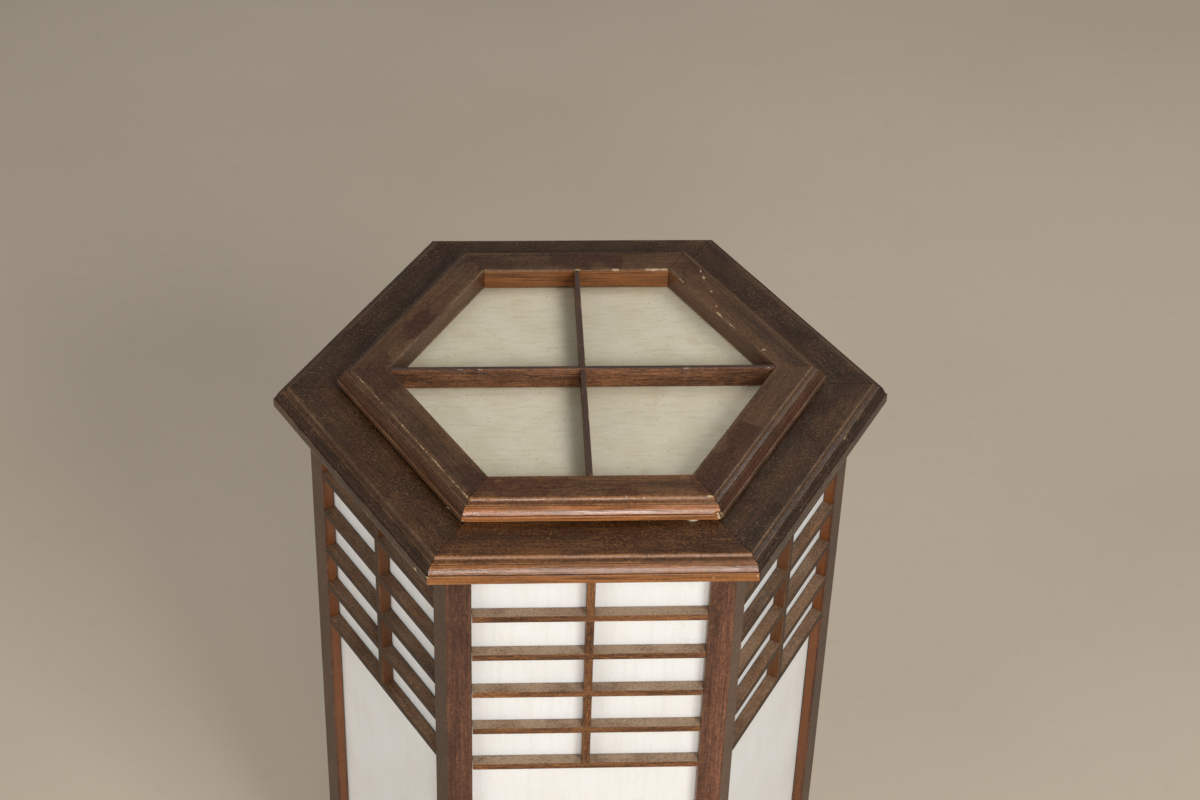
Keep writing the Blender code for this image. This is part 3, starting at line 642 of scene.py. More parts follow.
# runs a tree on a mesh and keeps the plain mesh that comes out
def grow(name, mesh, tree, sizes, sharp=40):
    base = addObject(name + "Base", mesh)
    modifier = base.modifiers.new(tree, "NODES")
    modifier.node_group = trees[tree]
    for item in trees[tree].interface.items_tree:
        if item.in_out == "INPUT" and item.name in sizes:
            modifier[item.identifier] = sizes[item.name]
    depsgraph = bpy.context.evaluated_depsgraph_get()
    grown = bpy.data.meshes.new_from_object(
        base.evaluated_get(depsgraph), preserve_all_data_layers=True, depsgraph=depsgraph
    )
    base.modifiers.remove(modifier)
    bpy.data.objects.remove(base)
    grown.name = name
    tidyNormals(grown, sharp)
    return addObject(name, grown)


def tidyNormals(mesh, sharp):
    bm = bmesh.new()
    bm.from_mesh(mesh)
    bmesh.ops.recalc_face_normals(bm, faces=bm.faces)
    bm.to_mesh(mesh)
    bm.free()
    mesh.shade_smooth()
    mesh.set_sharp_from_angle(angle=math.radians(sharp))


def finished(name, mesh, finish, sharp=40):
    mesh.materials.append(finish)
    tidyNormals(mesh, sharp)
    return addObject(name, mesh)


def settle(piece, body, nodes):
    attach(piece, body)
    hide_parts(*nodes)
    print("piece:", piece.name, len(piece.data.polygons), "faces")
    return piece


def all6(prefix, places):
    return [f"{prefix}_{place}" for place in places]


def timber(name, outline, look, wood, upright=False, toneOf=noTone):
    sizes = {
        "Stations": look["stations"], "Start": look["start"], "End": look["end"],
        "Mitre": look.get("mitre", 0.0), "Mitre Gap": look.get("mitreGap", 0.0),
        "Rows": look.get("rows", 1), "Row Step": look.get("rowStep", (0, 0, 0)), "Copies": 6,
        "Upright": 1.0 if upright else 0.0, "Unevenness": look["unevenness"],
        "Nick Depth": look["nickDepth"], "Nick Share": look["nickShare"], "Seed": look["seed"], "Wood": wood,
    }
    return grow(name, sectionMesh(name, outline, look, upright, toneOf), "timber", sizes)


chipShape = {"ragged": 0.3, "raggedScale": 900, "steep": 1.8, "bareSteep": 1.6}


# chips: (side, along the rail, out from the axis, height, length, width, depth, bareness)
def chipped(piece, chips):
    mesh = piece.data
    tree = kdtree.KDTree(len(mesh.vertices))
    for corner in mesh.vertices:
        tree.insert(corner.co, corner.index)
    tree.balance()
    nick = mesh.attributes["nick"].data
    normals = [corner.normal.copy() for corner in mesh.vertices]
    for side, along, out, height, length, width, depth, bareness in chips:
        turn = Matrix.Rotation(sixth * side, 3, "Z")
        spot = turn @ Vector((along, -out, height))
        for place, index, _ in tree.find_range(spot, max(length, width)):
            offset = turn.transposed() @ (place - spot)
            far = math.hypot(offset.x / length, offset.y / width, offset.z / width)
            ragged = 1.0 + chipShape["ragged"] * waves.noise(place * chipShape["raggedScale"])
            sunk = max(0.0, 1.0 - far * ragged)
            mesh.vertices[index].co -= normals[index] * depth * min(1.0, sunk * chipShape["steep"])
            bare = bareness * min(1.0, sunk * chipShape["bareSteep"])
            nick[index].value = max(nick[index].value, bare)


# cornice and lid rails

mitreGap = 0.00015 / cos30
railLook = {
    "start": (-1, 0, 0), "end": (1, 0, 0), "mitre": 1.0, "mitreGap": mitreGap, "arris": 0.0008,
    "unevenness": 0.0003, "nickDepth": 0.0005,
}
# corners of the moulding: in from the outer face, down from the top
corniceSizes = {
    "corners": {
        "flatEnd": (0.0083, 0.0), "stepFoot": (0.0076, 0.0021), "shelfEnd": (0.0046, 0.0028),
        "groove": (0.0042, 0.0036), "ovoloHead": (0.0037, 0.0030), "ovoloFoot": (0.0011, 0.0088),
    },
    "bulge": 0.00028,
}
corniceSection = moulded(railSection("cornice_rail_front"), corniceSizes)
corniceOut, corniceTop = max(corniceSection)[0], max(height for _, height in corniceSection)
corniceEnd = corniceOut * tan30
corniceLook = {
    **railLook, "stations": 150, "span": 0.0030, "nickShare": 0.02, "seed": 3,
    "aged": {"fillet": 1.0, "ovolo": 0.8, "shelf": -0.25, "step": -0.95, "inside": 0.2},
    "chips": [
        (0, corniceEnd - 0.0012, corniceOut, corniceTop - 0.0104, 0.0022, 0.0018, 0.0006, 0.7),
        (0, 0.0006 - corniceEnd, corniceOut, corniceTop - 0.0090, 0.0016, 0.0016, 0.0003, 0.6),
        (0, 0.0715, corniceOut, corniceTop - 0.0112, 0.0018, 0.0026, 0.0008, 0.45),
        (5, corniceEnd - 0.0140, corniceOut, corniceTop - 0.0142, 0.0020, 0.0018, 0.0005, 0.85),
        (1, 0.0380, corniceOut - 0.0040, corniceTop - 0.0036, 0.0060, 0.0012, 0.0002, 0.45),
        (3, 0.0520, corniceOut, corniceTop - 0.0120, 0.0034, 0.0016, 0.0004, 0.7),
        (4, -0.0310, corniceOut - 0.0080, corniceTop, 0.0050, 0.0014, 0.0003, 0.55),
    ],
}
corniceTone = mouldingTone(corniceSection, corniceSizes, corniceLook["aged"])
cornice = timber("cornice", corniceSection, corniceLook, mouldingWood, toneOf=corniceTone)
chipped(cornice, corniceLook["chips"])
settle(cornice, "lamp_body", all6("cornice_rail", sides))

lidSizes = {
    "corners": {
        "flatEnd": (0.0080, 0.0), "stepFoot": (0.0073, 0.0022), "shelfEnd": (0.0048, 0.0029),
        "groove": (0.0044, 0.0037), "ovoloHead": (0.0039, 0.0031), "ovoloFoot": (0.0013, 0.0086),
    },
    "bulge": 0.00029,
}
lidSection = moulded(railSection("lid_rail_front"), lidSizes)
lidOut, lidTop = max(lidSection)[0], max(height for _, height in lidSection)
lidIn = min(lidSection)[0]
lidFoot = min(height for out, height in lidSection if out > lidOut - 0.0001)
lidEnd = lidOut * tan30
lidFlatEnd = lidOut - lidSizes["corners"]["flatEnd"][0]
lidLook = {
    **railLook, "stations": 140, "span": 0.0024, "nickShare": 0.03, "seed": 8,
    "aged": {"fillet": 0.9, "ovolo": 0.8, "shelf": -0.25, "step": -0.90, "inside": 2.0},
    "chips": [
        (0, lidEnd - 0.0008, lidOut, lidFoot + 0.0030, 0.0036, 0.0036, 0.0013, 0.9),
        (0, lidEnd - 0.0072, lidFlatEnd, lidTop, 0.0024, 0.0014, 0.0005, 0.8),
        (0, 0.0008 - lidEnd, lidOut, lidFoot + 0.0006, 0.0030, 0.0014, 0.0005, 0.7),
        (0, 0.0210, lidFlatEnd - 0.0006, lidTop, 0.0012, 0.0010, 0.0002, 0.6),
        (5, lidEnd - 0.0080, lidFlatEnd, lidTop, 0.0100, 0.0016, 0.0005, 0.50),
        (5, 0.0570, lidFlatEnd, lidTop, 0.0160, 0.0013, 0.0003, 0.42),
        (5, 0.0360, lidFlatEnd, lidTop, 0.0130, 0.0016, 0.0005, 0.46),
        (5, 0.0190, lidFlatEnd, lidTop, 0.0150, 0.0012, 0.0003, 0.40),
        (5, -0.0040, lidFlatEnd, lidTop, 0.0110, 0.0015, 0.0004, 0.44),
        (5, -0.0390, lidFlatEnd, lidTop, 0.0170, 0.0012, 0.0003, 0.36),
        (5, -0.0610, lidFlatEnd, lidTop, 0.0090, 0.0014, 0.0004, 0.42),
        (3, -0.0008, lidIn, lidTop, 0.0032, 0.0014, 0.0004, 0.85),
        (3, -0.0266, lidIn + 0.0004, lidTop, 0.0034, 0.0016, 0.0006, 0.95),
        (3, -0.0520, lidIn + 0.0004, lidTop, 0.0080, 0.0014, 0.0004, 0.85),
        (3, -0.0596, lidIn + 0.0005, lidTop, 0.0040, 0.0013, 0.0004, 0.8),
        (2, 0.0498, lidOut - 0.0114, lidTop, 0.0018, 0.0012, 0.0001, 0.7),
        (2, 0.0426, lidOut - 0.0130, lidTop, 0.0026, 0.0013, 0.0001, 0.85),
        (2, 0.0269, lidOut - 0.0182, lidTop, 0.0016, 0.0010, 0.0001, 0.65),
        (2, 0.0112, lidIn + 0.0036, lidTop, 0.0014, 0.0010, 0.0001, 0.6),
        (2, 0.0480, lidIn + 0.0003, lidTop, 0.0050, 0.0009, 0.0003, 0.55),
        (2, 0.0030, lidIn + 0.0002, lidTop, 0.0050, 0.0012, 0.0003, 0.75),
        (2, -0.0120, lidIn + 0.0002, lidTop, 0.0070, 0.0009, 0.0002, 0.55),
        (2, -0.0444, lidIn + 0.0030, lidTop, 0.0030, 0.0024, 0.0002, 0.55),
    ],
}
lidTone = mouldingTone(lidSection, lidSizes, lidLook["aged"])
lidFrame = timber("lidFrame", lidSection, lidLook, lidWood, toneOf=lidTone)
chipped(lidFrame, lidLook["chips"])
settle(lidFrame, "lid", all6("lid_rail", sides))

# posts

postLow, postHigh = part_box("post_right")
postLook = {
    "stations": 160, "start": (0, 0, postLow.z), "end": (0, 0, postHigh.z), "arris": 0.0009,
    "unevenness": 0.0003, "nickDepth": 0.0006, "nickShare": 0.03, "seed": 12,
}
postPlan = postSection("post_right")
postArris = max(postPlan)[0]
postReturn = max(abs(y) for _, y in postPlan)


# the faces that look into the windows never lost their first, thin stain
def postTone(point):
    return 1.0 if abs(point.y) > postReturn * 0.72 and point.x < postArris - 0.0090 else 0.0


posts = timber("posts", postPlan, postLook, frameWood, upright=True, toneOf=postTone)
settle(posts, "lamp_body", all6("post", corners))

# side lattices: cross bars in front at each halving, centre stile in lengths between them

latticeLow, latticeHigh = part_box("lattice_front")
latticeCorners = cornersOf("lattice_front")
levels = sorted({round(place.z, 5) for place in latticeCorners}, reverse=True)
stileHalf = min(abs(place.x) for place in latticeCorners)
barTop, barBottom = levels[1], levels[2]
pitch = levels[1] - levels[3]
barCount = len(levels) // 2
front, back = -latticeLow.y, -latticeHigh.y
latticeLook = {
    "rows": barCount, "rowStep": (0, 0, -pitch), "arris": 0.0004, "unevenness": 0.0004,
    "nickDepth": 0.0005, "nickShare": 0.05,
}
barLook = {
    **latticeLook, "stations": 70, "start": (latticeLow.x, 0, 0), "end": (latticeHigh.x, 0, 0), "seed": 21,
}
barSection = anticlockwise([(back, barBottom), (front, barBottom), (front, barTop), (back, barTop)])
crossBars = timber("crossBars", barSection, barLook, latticeWood)
settle(crossBars, "lamp_body", all6("lattice", sides))

halving = 0.0001
stileLook = {
    **latticeLook, "stations": 14, "start": (0, 0, barTop + halving), "end": (0, 0, levels[0] - halving),
    "seed": 33,
}
stileSection = anticlockwise(
    [(-stileHalf, -front), (stileHalf, -front), (stileHalf, -back), (-stileHalf, -back)]
)


# painted shade: the stile's side faces take the darker sunk colour
def stileShadeTone(point):
    return -1.0 if abs(point.x) > stileHalf - 0.00002 else 0.0


centreStiles = timber("centreStiles", stileSection, stileLook, latticeWood, upright=True, toneOf=stileShadeTone)
settle(centreStiles, "lamp_body", all6("lattice", sides))


# plainer timbers: the node's own shape with its arrises rounded and nicked

easing = {"sharp": 25, "biteScale": 190, "biteFrom": 0.5, "biteSteep": 4}


def easedCopies(name, nodes, look, wood):
    whole = bmesh.new()
    axis = Vector((0, 1, 0)) if look["alongY"] else Vector((1, 0, 0))
    for number, node in enumerate(nodes):
        bm = welded(node)
        rounded = bm.faces.layers.int.new("rounded")
        sharp = [item for item in bm.edges if item.calc_face_angle(0.0) > math.radians(easing["sharp"])]
        made = bmesh.ops.bevel(
            bm, geom=sharp, offset=look["arris"], segments=2, profile=0.5, affect="EDGES", clamp_overlap=True
        )
        for face in made["faces"]:
            face[rounded] = 1
        reach = max(abs(corner.co.dot(axis)) for corner in bm.verts)
        for i in range(1, look["stations"]):
            cut = axis * reach * (2 * i / look["stations"] - 1)
            bmesh.ops.bisect_plane(bm, geom=[*bm.verts, *bm.edges, *bm.faces], plane_co=cut, plane_no=axis)
        edge, nick, tint = (bm.verts.layers.float.new(label) for label in ("edge", "nick", "tint"))
        grain = bm.verts.layers.float_vector.new("grain")
        turnedBack = Matrix.Rotation(-sixth * number, 3, "Z")
        bm.normal_update()
        for corner in bm.verts:
            corner[edge] = 1.0 if all(face[rounded] for face in corner.link_faces) else 0.0
            bite = waves.noise(corner.co * easing["biteScale"] + Vector((0, 0, look["seed"] * 7.1)))
            bite = (bite - easing["biteFrom"] + look["nickShare"]) * easing["biteSteep"]
            corner[nick] = corner[edge] * max(0.0, min(1.0, bite))
            corner.co -= corner.normal * corner[nick] * look["nickDepth"]
            place = turnedBack @ corner.co
            corner[grain] = place.yxz if look["alongY"] else place
            corner[tint] = (number * 0.37 + look["seed"] * 0.13) % 1.0
        part = meshOf(bm, "part")
        whole.from_mesh(part)
        bpy.data.meshes.remove(part)
    return finished(name, meshOf(whole, name), wood)


plainLook = {"arris": 0.0006, "alongY": False, "seed": 2, "stations": 1, "nickDepth": 0.0, "nickShare": 0.0}
for name, prefix in (("topRails", "top_rail"), ("bottomRails", "bottom_rail")):
    rails = easedCopies(name, all6(prefix, sides), plainLook, frameWood)
    settle(rails, "lamp_body", all6(prefix, sides))

longBarLook = {
    "arris": 0.0004, "alongY": False, "seed": 5, "stations": 160, "nickDepth": 0.0004, "nickShare": 0.22,
}
shortBarLook = {
    "arris": 0.0004, "alongY": True, "seed": 1, "stations": 150, "nickDepth": 0.0005, "nickShare": 0.30,
}
lidBars = (("lidBarLong", "lid_bar_long", longBarLook), ("lidBarShort", "lid_bar_short", shortBarLook))
for name, node, look in lidBars:
    settle(easedCopies(name, [node], look, lidBarWood), "lid", [node])

plankLook = {**plainLook, "arris": 0.0008, "alongY": True, "seed": 4}
plankBoard = easedCopies("plankBoard", ["plank"], plankLook, plankWood)
settle(plankBoard, "lamp_body", ["plank"])


# papers: taut sheets, glued along the wood, slightly slack between

# room for paste between a paper and the wood
paste = 0.00005


def thinSheet(name, bm, thickness, finish):
    bmesh.ops.recalc_face_normals(bm, faces=bm.faces)
    bmesh.ops.solidify(bm, geom=list(bm.faces), thickness=thickness)
    return finished(name, meshOf(bm, name), finish, 60)


sidePaper = {
    "columns": 40, "rows": 118, "slack": 0.0007, "ripple": 0.0005, "thickness": 0.0003, "shadeWidth": 0.004,
    "easeAcross": 0.03, "easeUp": 0.04, "waves": (22, 7),
}
paperLow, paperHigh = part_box("side_paper_front")
fieldHead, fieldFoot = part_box("top_rail_front")[0].z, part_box("bottom_rail_front")[1].z
paperSpans = [(levels[2 * i + 1], levels[2 * i]) for i in range(barCount)] + [(fieldFoot, levels[-1])]


# how far the paper hangs back at a point, and how far the point is from the wood round it
def sidePaperHang(x, z, side):
    width = latticeHigh.x
    if z > fieldHead or z < fieldFoot or abs(x) > width:
        return 0.0, 0.0
    for foot, head in paperSpans:
        if foot <= z <= head:
            upright = min(z - foot, head - z)
            # small windows of the lattice belly evenly, the long field below ripples
            if foot > fieldFoot:
                across = min(abs(x) - stileHalf, width - abs(x))
                belly = max(0.0, across) * max(0.0, upright) / (width * 0.25 * (head - foot))
                return belly * sidePaper["slack"] * 0.8, min(across, upright)
            across = width - abs(x)
            eased = min(1.0, max(0.0, across) / sidePaper["easeAcross"])
            eased *= min(1.0, max(0.0, upright) / sidePaper["easeUp"])
            wavesX, wavesZ = sidePaper["waves"]
            ripple = waves.noise(Vector((x * wavesX, z * wavesZ, side * 9.7))) + 1.0
            return eased * (sidePaper["slack"] * 0.5 + sidePaper["ripple"] * ripple), min(across, upright)
    return 0.0, 0.0


def makeSidePaper(side, place):
    low, high = paperLow, paperHigh
    bm = bmesh.new()
    grain = bm.verts.layers.float_vector.new("grain")
    shadeAndDirt = bm.verts.layers.float.new("shadeAndDirt")
    turn = Matrix.Rotation(sixth * side, 3, "Z")
    rows = []
    for j in range(sidePaper["rows"] + 1):
        z = low.z + (high.z - low.z) * j / sidePaper["rows"]
        row = []
        for i in range(sidePaper["columns"] + 1):
            x = low.x + (high.x - low.x) * i / sidePaper["columns"]
            inward, away = sidePaperHang(x, z, side)
            corner = bm.verts.new(turn @ Vector((x, low.y + paste + inward, z)))
            corner[grain] = (x + side * 0.7, z, 0)
            # painted shade and dirt along the wood round each window
            corner[shadeAndDirt] = max(0.0, 1.0 - away / sidePaper["shadeWidth"])
            row.append(corner)
        rows.append(row)
    for lower, upper in zip(rows, rows[1:]):
        for i in range(sidePaper["columns"]):
            bm.faces.new((lower[i], lower[i + 1], upper[i + 1], upper[i]))
    made = thinSheet(f"sidePaper_{place}", bm, sidePaper["thickness"], sideWashi)
    settle(made, "lamp_body", [f"side_paper_{place}"])


for side, place in enumerate(sides):
    makeSidePaper(side, place)

# painted shadows of the bars: the wide strip behind the long bar and the one left of the short bar; the walls
# and the other sides of the bars get dirt and painted shade
lidPaper = {
    "splits": 5, "slack": 0.0008, "ripple": 0.0004, "thickness": 0.0003, "ease": 0.03, "waves": 24,
    "byWall": (0.008, 0.5), "behindBar": (0.034, 1.3), "beforeBar": (0.003, 0.3),
    "leftOfBar": (0.012, 0.7), "rightOfBar": (0.004, 0.3),
}


# painted shadow and dirt along the wood: (width, strength) at a wall and at each side of the bars
def lidPaperShadowAndDirt(wall, x, y):
    edges = (
        (wall, "byWall"), (abs(y), "behindBar" if y > 0 else "beforeBar"),
        (abs(x), "rightOfBar" if x > 0 else "leftOfBar"),
    )
    return max(0.0, *(lidPaper[name][1] * (1.0 - away / lidPaper[name][0]) for away, name in edges))


def makeLidPaper():
    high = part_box("lid_paper")[1]
    apothem = high.y
    radius = apothem / cos30
    level = high.z - paste
    bm = bmesh.new()
    turns = [i * sixth for i in range(6)]
    ring = [bm.verts.new((radius * math.cos(turn), radius * math.sin(turn), level)) for turn in turns]
    centre = bm.verts.new((0, 0, level))
    for i in range(6):
        bm.faces.new((centre, ring[i], ring[(i + 1) % 6]))
    for _ in range(lidPaper["splits"]):
        bmesh.ops.subdivide_edges(bm, edges=bm.edges, cuts=1, use_grid_fill=True)
    bmesh.ops.triangulate(bm, faces=bm.faces)
    grain = bm.verts.layers.float_vector.new("grain")
    shadeAndDirt = bm.verts.layers.float.new("shadeAndDirt")
    for corner in bm.verts:
        x, y = corner.co.x, corner.co.y
        wall = min(lidIn - abs(y), lidIn - abs(x) * cos30 - abs(y) * 0.5)
        away = max(0.0, min(wall, abs(x), abs(y)))
        ripple = waves.noise(Vector((x * lidPaper["waves"], y * lidPaper["waves"], 3.3))) + 1.0
        eased = min(1.0, away / lidPaper["ease"])
        corner[grain] = (x, y, 0)
        corner[shadeAndDirt] = min(1.0, lidPaperShadowAndDirt(max(0.0, wall), x, y))
        corner.co.z -= eased * (lidPaper["slack"] * 0.5 + lidPaper["ripple"] * ripple)
    made = thinSheet("lidPaperSheet", bm, lidPaper["thickness"], lidWashi)
    settle(made, "lid", ["lid_paper"])


makeLidPaper()


# turned pieces: rows of (radius, height, thread share) from the axis or round a wall

def turnedMesh(name, rows, steps, centre=(0, 0), thread=None):
    bm = bmesh.new()
    rings = []
    for radius, height, share in rows:
        ring = []
        for i in range(steps):
            angle = 2 * math.pi * i / steps
            reach = radius
            if share:
                wave = math.cos(2 * math.pi * height / thread["pitch"] - angle)
                reach -= share * thread["depth"] * (0.5 - 0.5 * wave)
            x, y = centre[0] + reach * math.cos(angle), centre[1] + reach * math.sin(angle)
            ring.append(bm.verts.new((x, y, height)))
        rings.append(ring)
    onAxis = rows[0][0] < 1e-7 and rows[-1][0] < 1e-7
    following = rings[1:] if onAxis else rings[1:] + rings[:1]
    for lower, upper in zip(rings, following):
        for i in range(steps):
            j = (i + 1) % steps
            bm.faces.new((lower[i], lower[j], upper[j], upper[i]))
    bmesh.ops.remove_doubles(bm, verts=bm.verts, dist=1e-7)
    bmesh.ops.recalc_face_normals(bm, faces=bm.faces)
    return meshOf(bm, name)


def turnedPiece(name, node, rows, steps, finish, thread=None):
    mesh = turnedMesh(name, rows, steps, thread=thread)
    settle(finished(name, mesh, finish), "lamp_body", [node])


def plainRows(profile):
    return [(radius, height, 0.0) for radius, height in profile]


def threadRows(radius, foot, head, count):
    made = []
    for i in range(count + 1):
        t = i / count
        fade = min(1.0, t / 0.1, (1 - t) / 0.1)
        made.append((radius, foot + (head - foot) * t, fade))
    return made


def radiusOf(place):
    return math.hypot(place.x, place.y)


# felt pads

padLow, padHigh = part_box("lid_pad_front")
pads = {"edge": 0.0005, "steps": 28}
padRadius = (padHigh.x - padLow.x) / 2
padCentre = ((padLow.x + padHigh.x) / 2, (padLow.y + padHigh.y) / 2)
padProfile = [
    (0, padLow.z), (padRadius - pads["edge"], padLow.z), (padRadius, padLow.z + pads["edge"]),
    (padRadius, padHigh.z - pads["edge"]), (padRadius - pads["edge"], padHigh.z), (0, padHigh.z),
]
padMesh = turnedMesh("pad", plainRows(padProfile), pads["steps"], padCentre)
feltPads = grow("feltPads", padMesh, "ring", {"Copies": 6, "Turn": sixth, "Finish": padFelt}, 60)
settle(feltPads, "lid", all6("lid_pad", sides))

# lamp holder: glazed body, threaded brass shell, centre contact, two slotted screws

holderCorners = cornersOf("holder_body")
holderLow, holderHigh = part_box("holder_body")
holder = {"steps": 96, "edge": 0.0016}
flangeRadius = holderHigh.x
flangeTop = max(place.z for place in holderCorners if radiusOf(place) > flangeRadius * 0.98)
rimRadii = [radiusOf(place) for place in holderCorners if place.z > holderHigh.z - 1e-5]
bore, wallRadius = min(rimRadii), max(rimRadii)
holderFloor = min(place.z for place in holderCorners if abs(radiusOf(place) - bore) < 1e-4)
holderProfile = [
    (flangeRadius, holderLow.z), (flangeRadius, flangeTop), (wallRadius, flangeTop),
    (wallRadius, holderHigh.z), (bore, holderHigh.z), (bore, holderFloor), (bore * 0.5, holderFloor),
    (bore * 0.5, holderLow.z),
]
softHolder = [(point.x, point.y) for point, _ in softened(holderProfile, holder["edge"])]
softHolder = [point for point in softHolder if point[0] > bore * 0.55]
holderRows = [(0, holderLow.z, 0), *plainRows(softHolder), (0, holderFloor, 0)]
turnedPiece("holderBody", "holder_body", holderRows, holder["steps"], glazedCeramic)

screwThread = {"pitch": 0.00363, "depth": 0.0008, "rows": 90, "steps": 72, "wall": 0.0005}
shellLow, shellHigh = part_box("holder_shell")
shellOuter = threadRows(shellHigh.x, shellLow.z, shellHigh.z, screwThread["rows"])
shellInner = threadRows(shellHigh.x - screwThread["wall"], shellLow.z, shellHigh.z, screwThread["rows"])
shellRows = shellOuter + shellInner[::-1]
turnedPiece(
    "holderShell", "holder_shell", shellRows, screwThread["steps"], oldBrass, screwThread
)

contactLow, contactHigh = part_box("holder_contact")
contact = {"steps": 40, "rows": 8}
contactRows = [(0, contactLow.z, 0), (contactHigh.x, contactLow.z, 0)]
for i in range(contact["rows"]):
    angle = math.pi / 2 * i / contact["rows"]
    rise = (contactHigh.z - contactLow.z) * (0.4 + 0.6 * math.sin(angle))
    contactRows.append((contactHigh.x * math.cos(angle), contactLow.z + rise, 0))
contactRows.append((0, contactHigh.z, 0))
turnedPiece("holderContact", "holder_contact", contactRows, contact["steps"], oldBrass)

screwLow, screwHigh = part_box("holder_screw_right")
screwAxis = (screwLow.x + screwHigh.x) / 2
screw = {
    "steps": 36, "rows": 8, "slotWidth": 0.0010, "slotDepth": 0.0011, "slotTurn": 35, "shank": 0.0017,
    "head": 0.0024,
}


def slottedScrew():
    radius = (screwHigh.x - screwLow.x) / 2
    seat = screwHigh.z - screw["head"]
    profile = [(0, screwLow.z), (screw["shank"], screwLow.z + screw["shank"]), (screw["shank"], seat)]
    for i in range(screw["rows"]):
        angle = math.pi / 2 * i / screw["rows"]
        profile.append((radius * math.cos(angle), seat + screw["head"] * math.sin(angle)))
    profile.append((0, screwHigh.z))
    whole = addObject("screwWhole", turnedMesh("screw", plainRows(profile), screw["steps"], (screwAxis, 0)))
    bm = bmesh.new()
    bmesh.ops.create_cube(bm, size=1.0)
    bmesh.ops.scale(bm, vec=(screw["slotWidth"], radius * 3, screw["slotDepth"] * 2), verts=bm.verts)
    turn = Matrix.Rotation(math.radians(screw["slotTurn"]), 3, "Z")
    bmesh.ops.rotate(bm, cent=(0, 0, 0), matrix=turn, verts=bm.verts)
    bmesh.ops.translate(bm, vec=(screwAxis, 0, screwHigh.z), verts=bm.verts)
    cutter = addObject("screwSlot", meshOf(bm, "screwSlot"))
    cut = whole.modifiers.new("slot", "BOOLEAN")
    cut.operation = "DIFFERENCE"
    cut.object = cutter
    depsgraph = bpy.context.evaluated_depsgraph_get()
    made = bpy.data.meshes.new_from_object(whole.evaluated_get(depsgraph))
    bpy.data.objects.remove(whole)
    bpy.data.objects.remove(cutter)
    return made


screwRing = {"Copies": 2, "Turn": math.pi, "Finish": screwSteel}
screws = grow("holderScrews", slottedScrew(), "ring", screwRing, 35)
settle(screws, "lamp_body", ["holder_screw_left", "holder_screw_right"])

# bulb: frosted glass in a threaded cap

capLow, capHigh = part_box("bulb_cap")
glassLow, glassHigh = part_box("bulb_glass")
bulb = {
    "start": math.radians(-48), "neckAbove": 0.003, "wall": 0.0008, "neckRows": 14, "globeRows": 30,
    "steps": 96,
}
neckRadius = max(radiusOf(place) for place in cornersOf("bulb_glass") if place.z < glassLow.z + 1e-5)


def bulbOutline(globe, neck):
    centre = glassHigh.z - glassHigh.x
    startOut, startUp = globe * math.cos(bulb["start"]), centre + globe * math.sin(bulb["start"])
    bendUp = startUp - (startOut - neck) / math.tan(-bulb["start"])
    neckUp = capHigh.z + bulb["neckAbove"]
    points = [(neck, glassLow.z)]
    for i in range(bulb["neckRows"]):
        t = i / bulb["neckRows"]
        out = (1 - t * t) * neck + t * t * startOut
        points.append((out, (1 - t) ** 2 * neckUp + 2 * t * (1 - t) * bendUp + t * t * startUp))
    for i in range(bulb["globeRows"]):
        angle = bulb["start"] + (math.pi / 2 - bulb["start"]) * i / bulb["globeRows"]
        points.append((globe * math.cos(angle), centre + globe * math.sin(angle)))
    points.append((0, centre + globe))
    return points


outside = bulbOutline(glassHigh.x, neckRadius)
inside = bulbOutline(glassHigh.x - bulb["wall"], neckRadius - bulb["wall"])
glassRows = plainRows([*reversed(inside), *outside])
turnedPiece("bulbGlass", "bulb_glass", glassRows, bulb["steps"], frostedGlass)

cap = {"cone": 0.0060, "tip": 0.0048, "tipEdge": (0.0006, 0.0004), "wall": 0.0005, "floorBelow": 0.0003}
capFloor, capInner = glassLow.z - cap["floorBelow"], capHigh.x - cap["wall"]
tipIn, tipUp = cap["tipEdge"]
capRows = [
    (0, capFloor, 0), (capInner, capFloor, 0), (capInner, capHigh.z, 0),
    *threadRows(capHigh.x, capHigh.z, capLow.z + cap["cone"], screwThread["rows"]),
    (cap["tip"], capLow.z + tipUp, 0), (cap["tip"] - tipIn, capLow.z, 0), (0, capLow.z, 0),
]
turnedPiece("bulbCap", "bulb_cap", capRows, screwThread["steps"], oldBrass, screwThread)

print("lamp pieces done")

# floor, light and camera

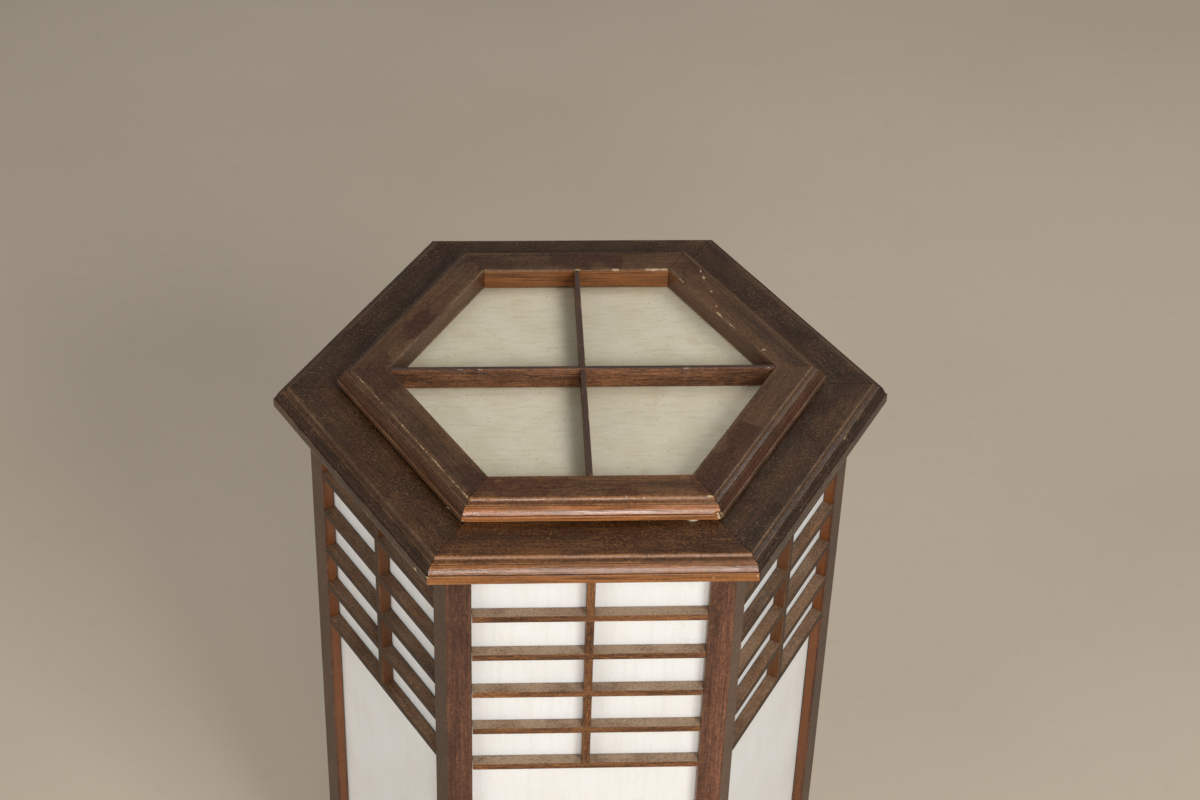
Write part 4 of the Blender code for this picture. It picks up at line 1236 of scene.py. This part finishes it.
floorHalf = 6.0
floorMesh = bpy.data.meshes.new("floor")
floorCorners = [(x * floorHalf, y * floorHalf, 0) for x, y in ((-1, -1), (1, -1), (1, 1), (-1, 1))]
floorMesh.from_pydata(floorCorners, [], [(0, 1, 2, 3)])
floorFinish = plainFinish({
    "name": "floor_finish", "light": rgb(230, 214, 192), "dark": rgb(222, 206, 184),
    "spot": rgb(190, 175, 155), "fine": 0.08, "cloudScale": 1.6, "fineScale": 60.0, "roughness": 0.75,
    "relief": 0.05,
})
floorMesh.materials.append(floorFinish)
floor = addObject("floor", floorMesh)

lampColour = (1.0, 0.995, 0.985)
lamps = {
    "key": {"place": (0.950, -1.900, 1.750), "width": 0.8, "height": 0.9, "power": 28.0},
    "low": {"place": (0.160, -2.390, 0.560), "width": 0.6, "height": 0.40, "power": 2.8, "spread": 80},
    "fill": {"place": (-1.988, -1.390, 1.105), "width": 1.8, "height": 1.8, "power": 19.0},
    "rear": {"place": (1.315, 0.922, 2.415), "width": 1.2, "height": 1.2, "power": 10.8},
}
lampAim = Vector((0, 0, 0.5))
for name, look in lamps.items():
    lampData = bpy.data.lights.new(name, "AREA")
    lampData.energy = look["power"]
    lampData.shape = "RECTANGLE"
    lampData.size = look["width"]
    lampData.size_y = look["height"]
    lampData.color = lampColour
    lampData.spread = math.radians(look.get("spread", 180))
    lampObject = addObject(name, lampData)
    lampObject.location = look["place"]
    aim = lampAim - Vector(look["place"])
    lampObject.rotation_euler = aim.to_track_quat("-Z", "Y").to_euler()

sky = bpy.data.worlds.new("studio")
scene.world = sky
sky.use_nodes = True
skyLight = {"Color": (*lampColour, 1.0), "Strength": 0.20}
feed(sky.node_tree, sky.node_tree.nodes["Background"], skyLight)

view = {"place": (-0.0766, -1.3112, 1.5619), "down": 38.193, "yaw": 3.85, "roll": 1.9545, "lens": 77.0}
cameraData = bpy.data.cameras.new("camera")
cameraData.sensor_width = 36.0
cameraData.sensor_fit = "HORIZONTAL"
cameraData.lens = view["lens"]
cameraObject = addObject("camera", cameraData)
cameraObject.matrix_world = (
    Matrix.Translation(view["place"])
    @ Matrix.Rotation(-math.radians(view["yaw"]), 4, "Z")
    @ Matrix.Rotation(math.radians(90 - view["down"]), 4, "X")
    @ Matrix.Rotation(math.radians(view["roll"]), 4, "Z")
)
scene.camera = cameraObject
scene.view_settings.view_transform = "Standard"
print("floor, light and camera set")
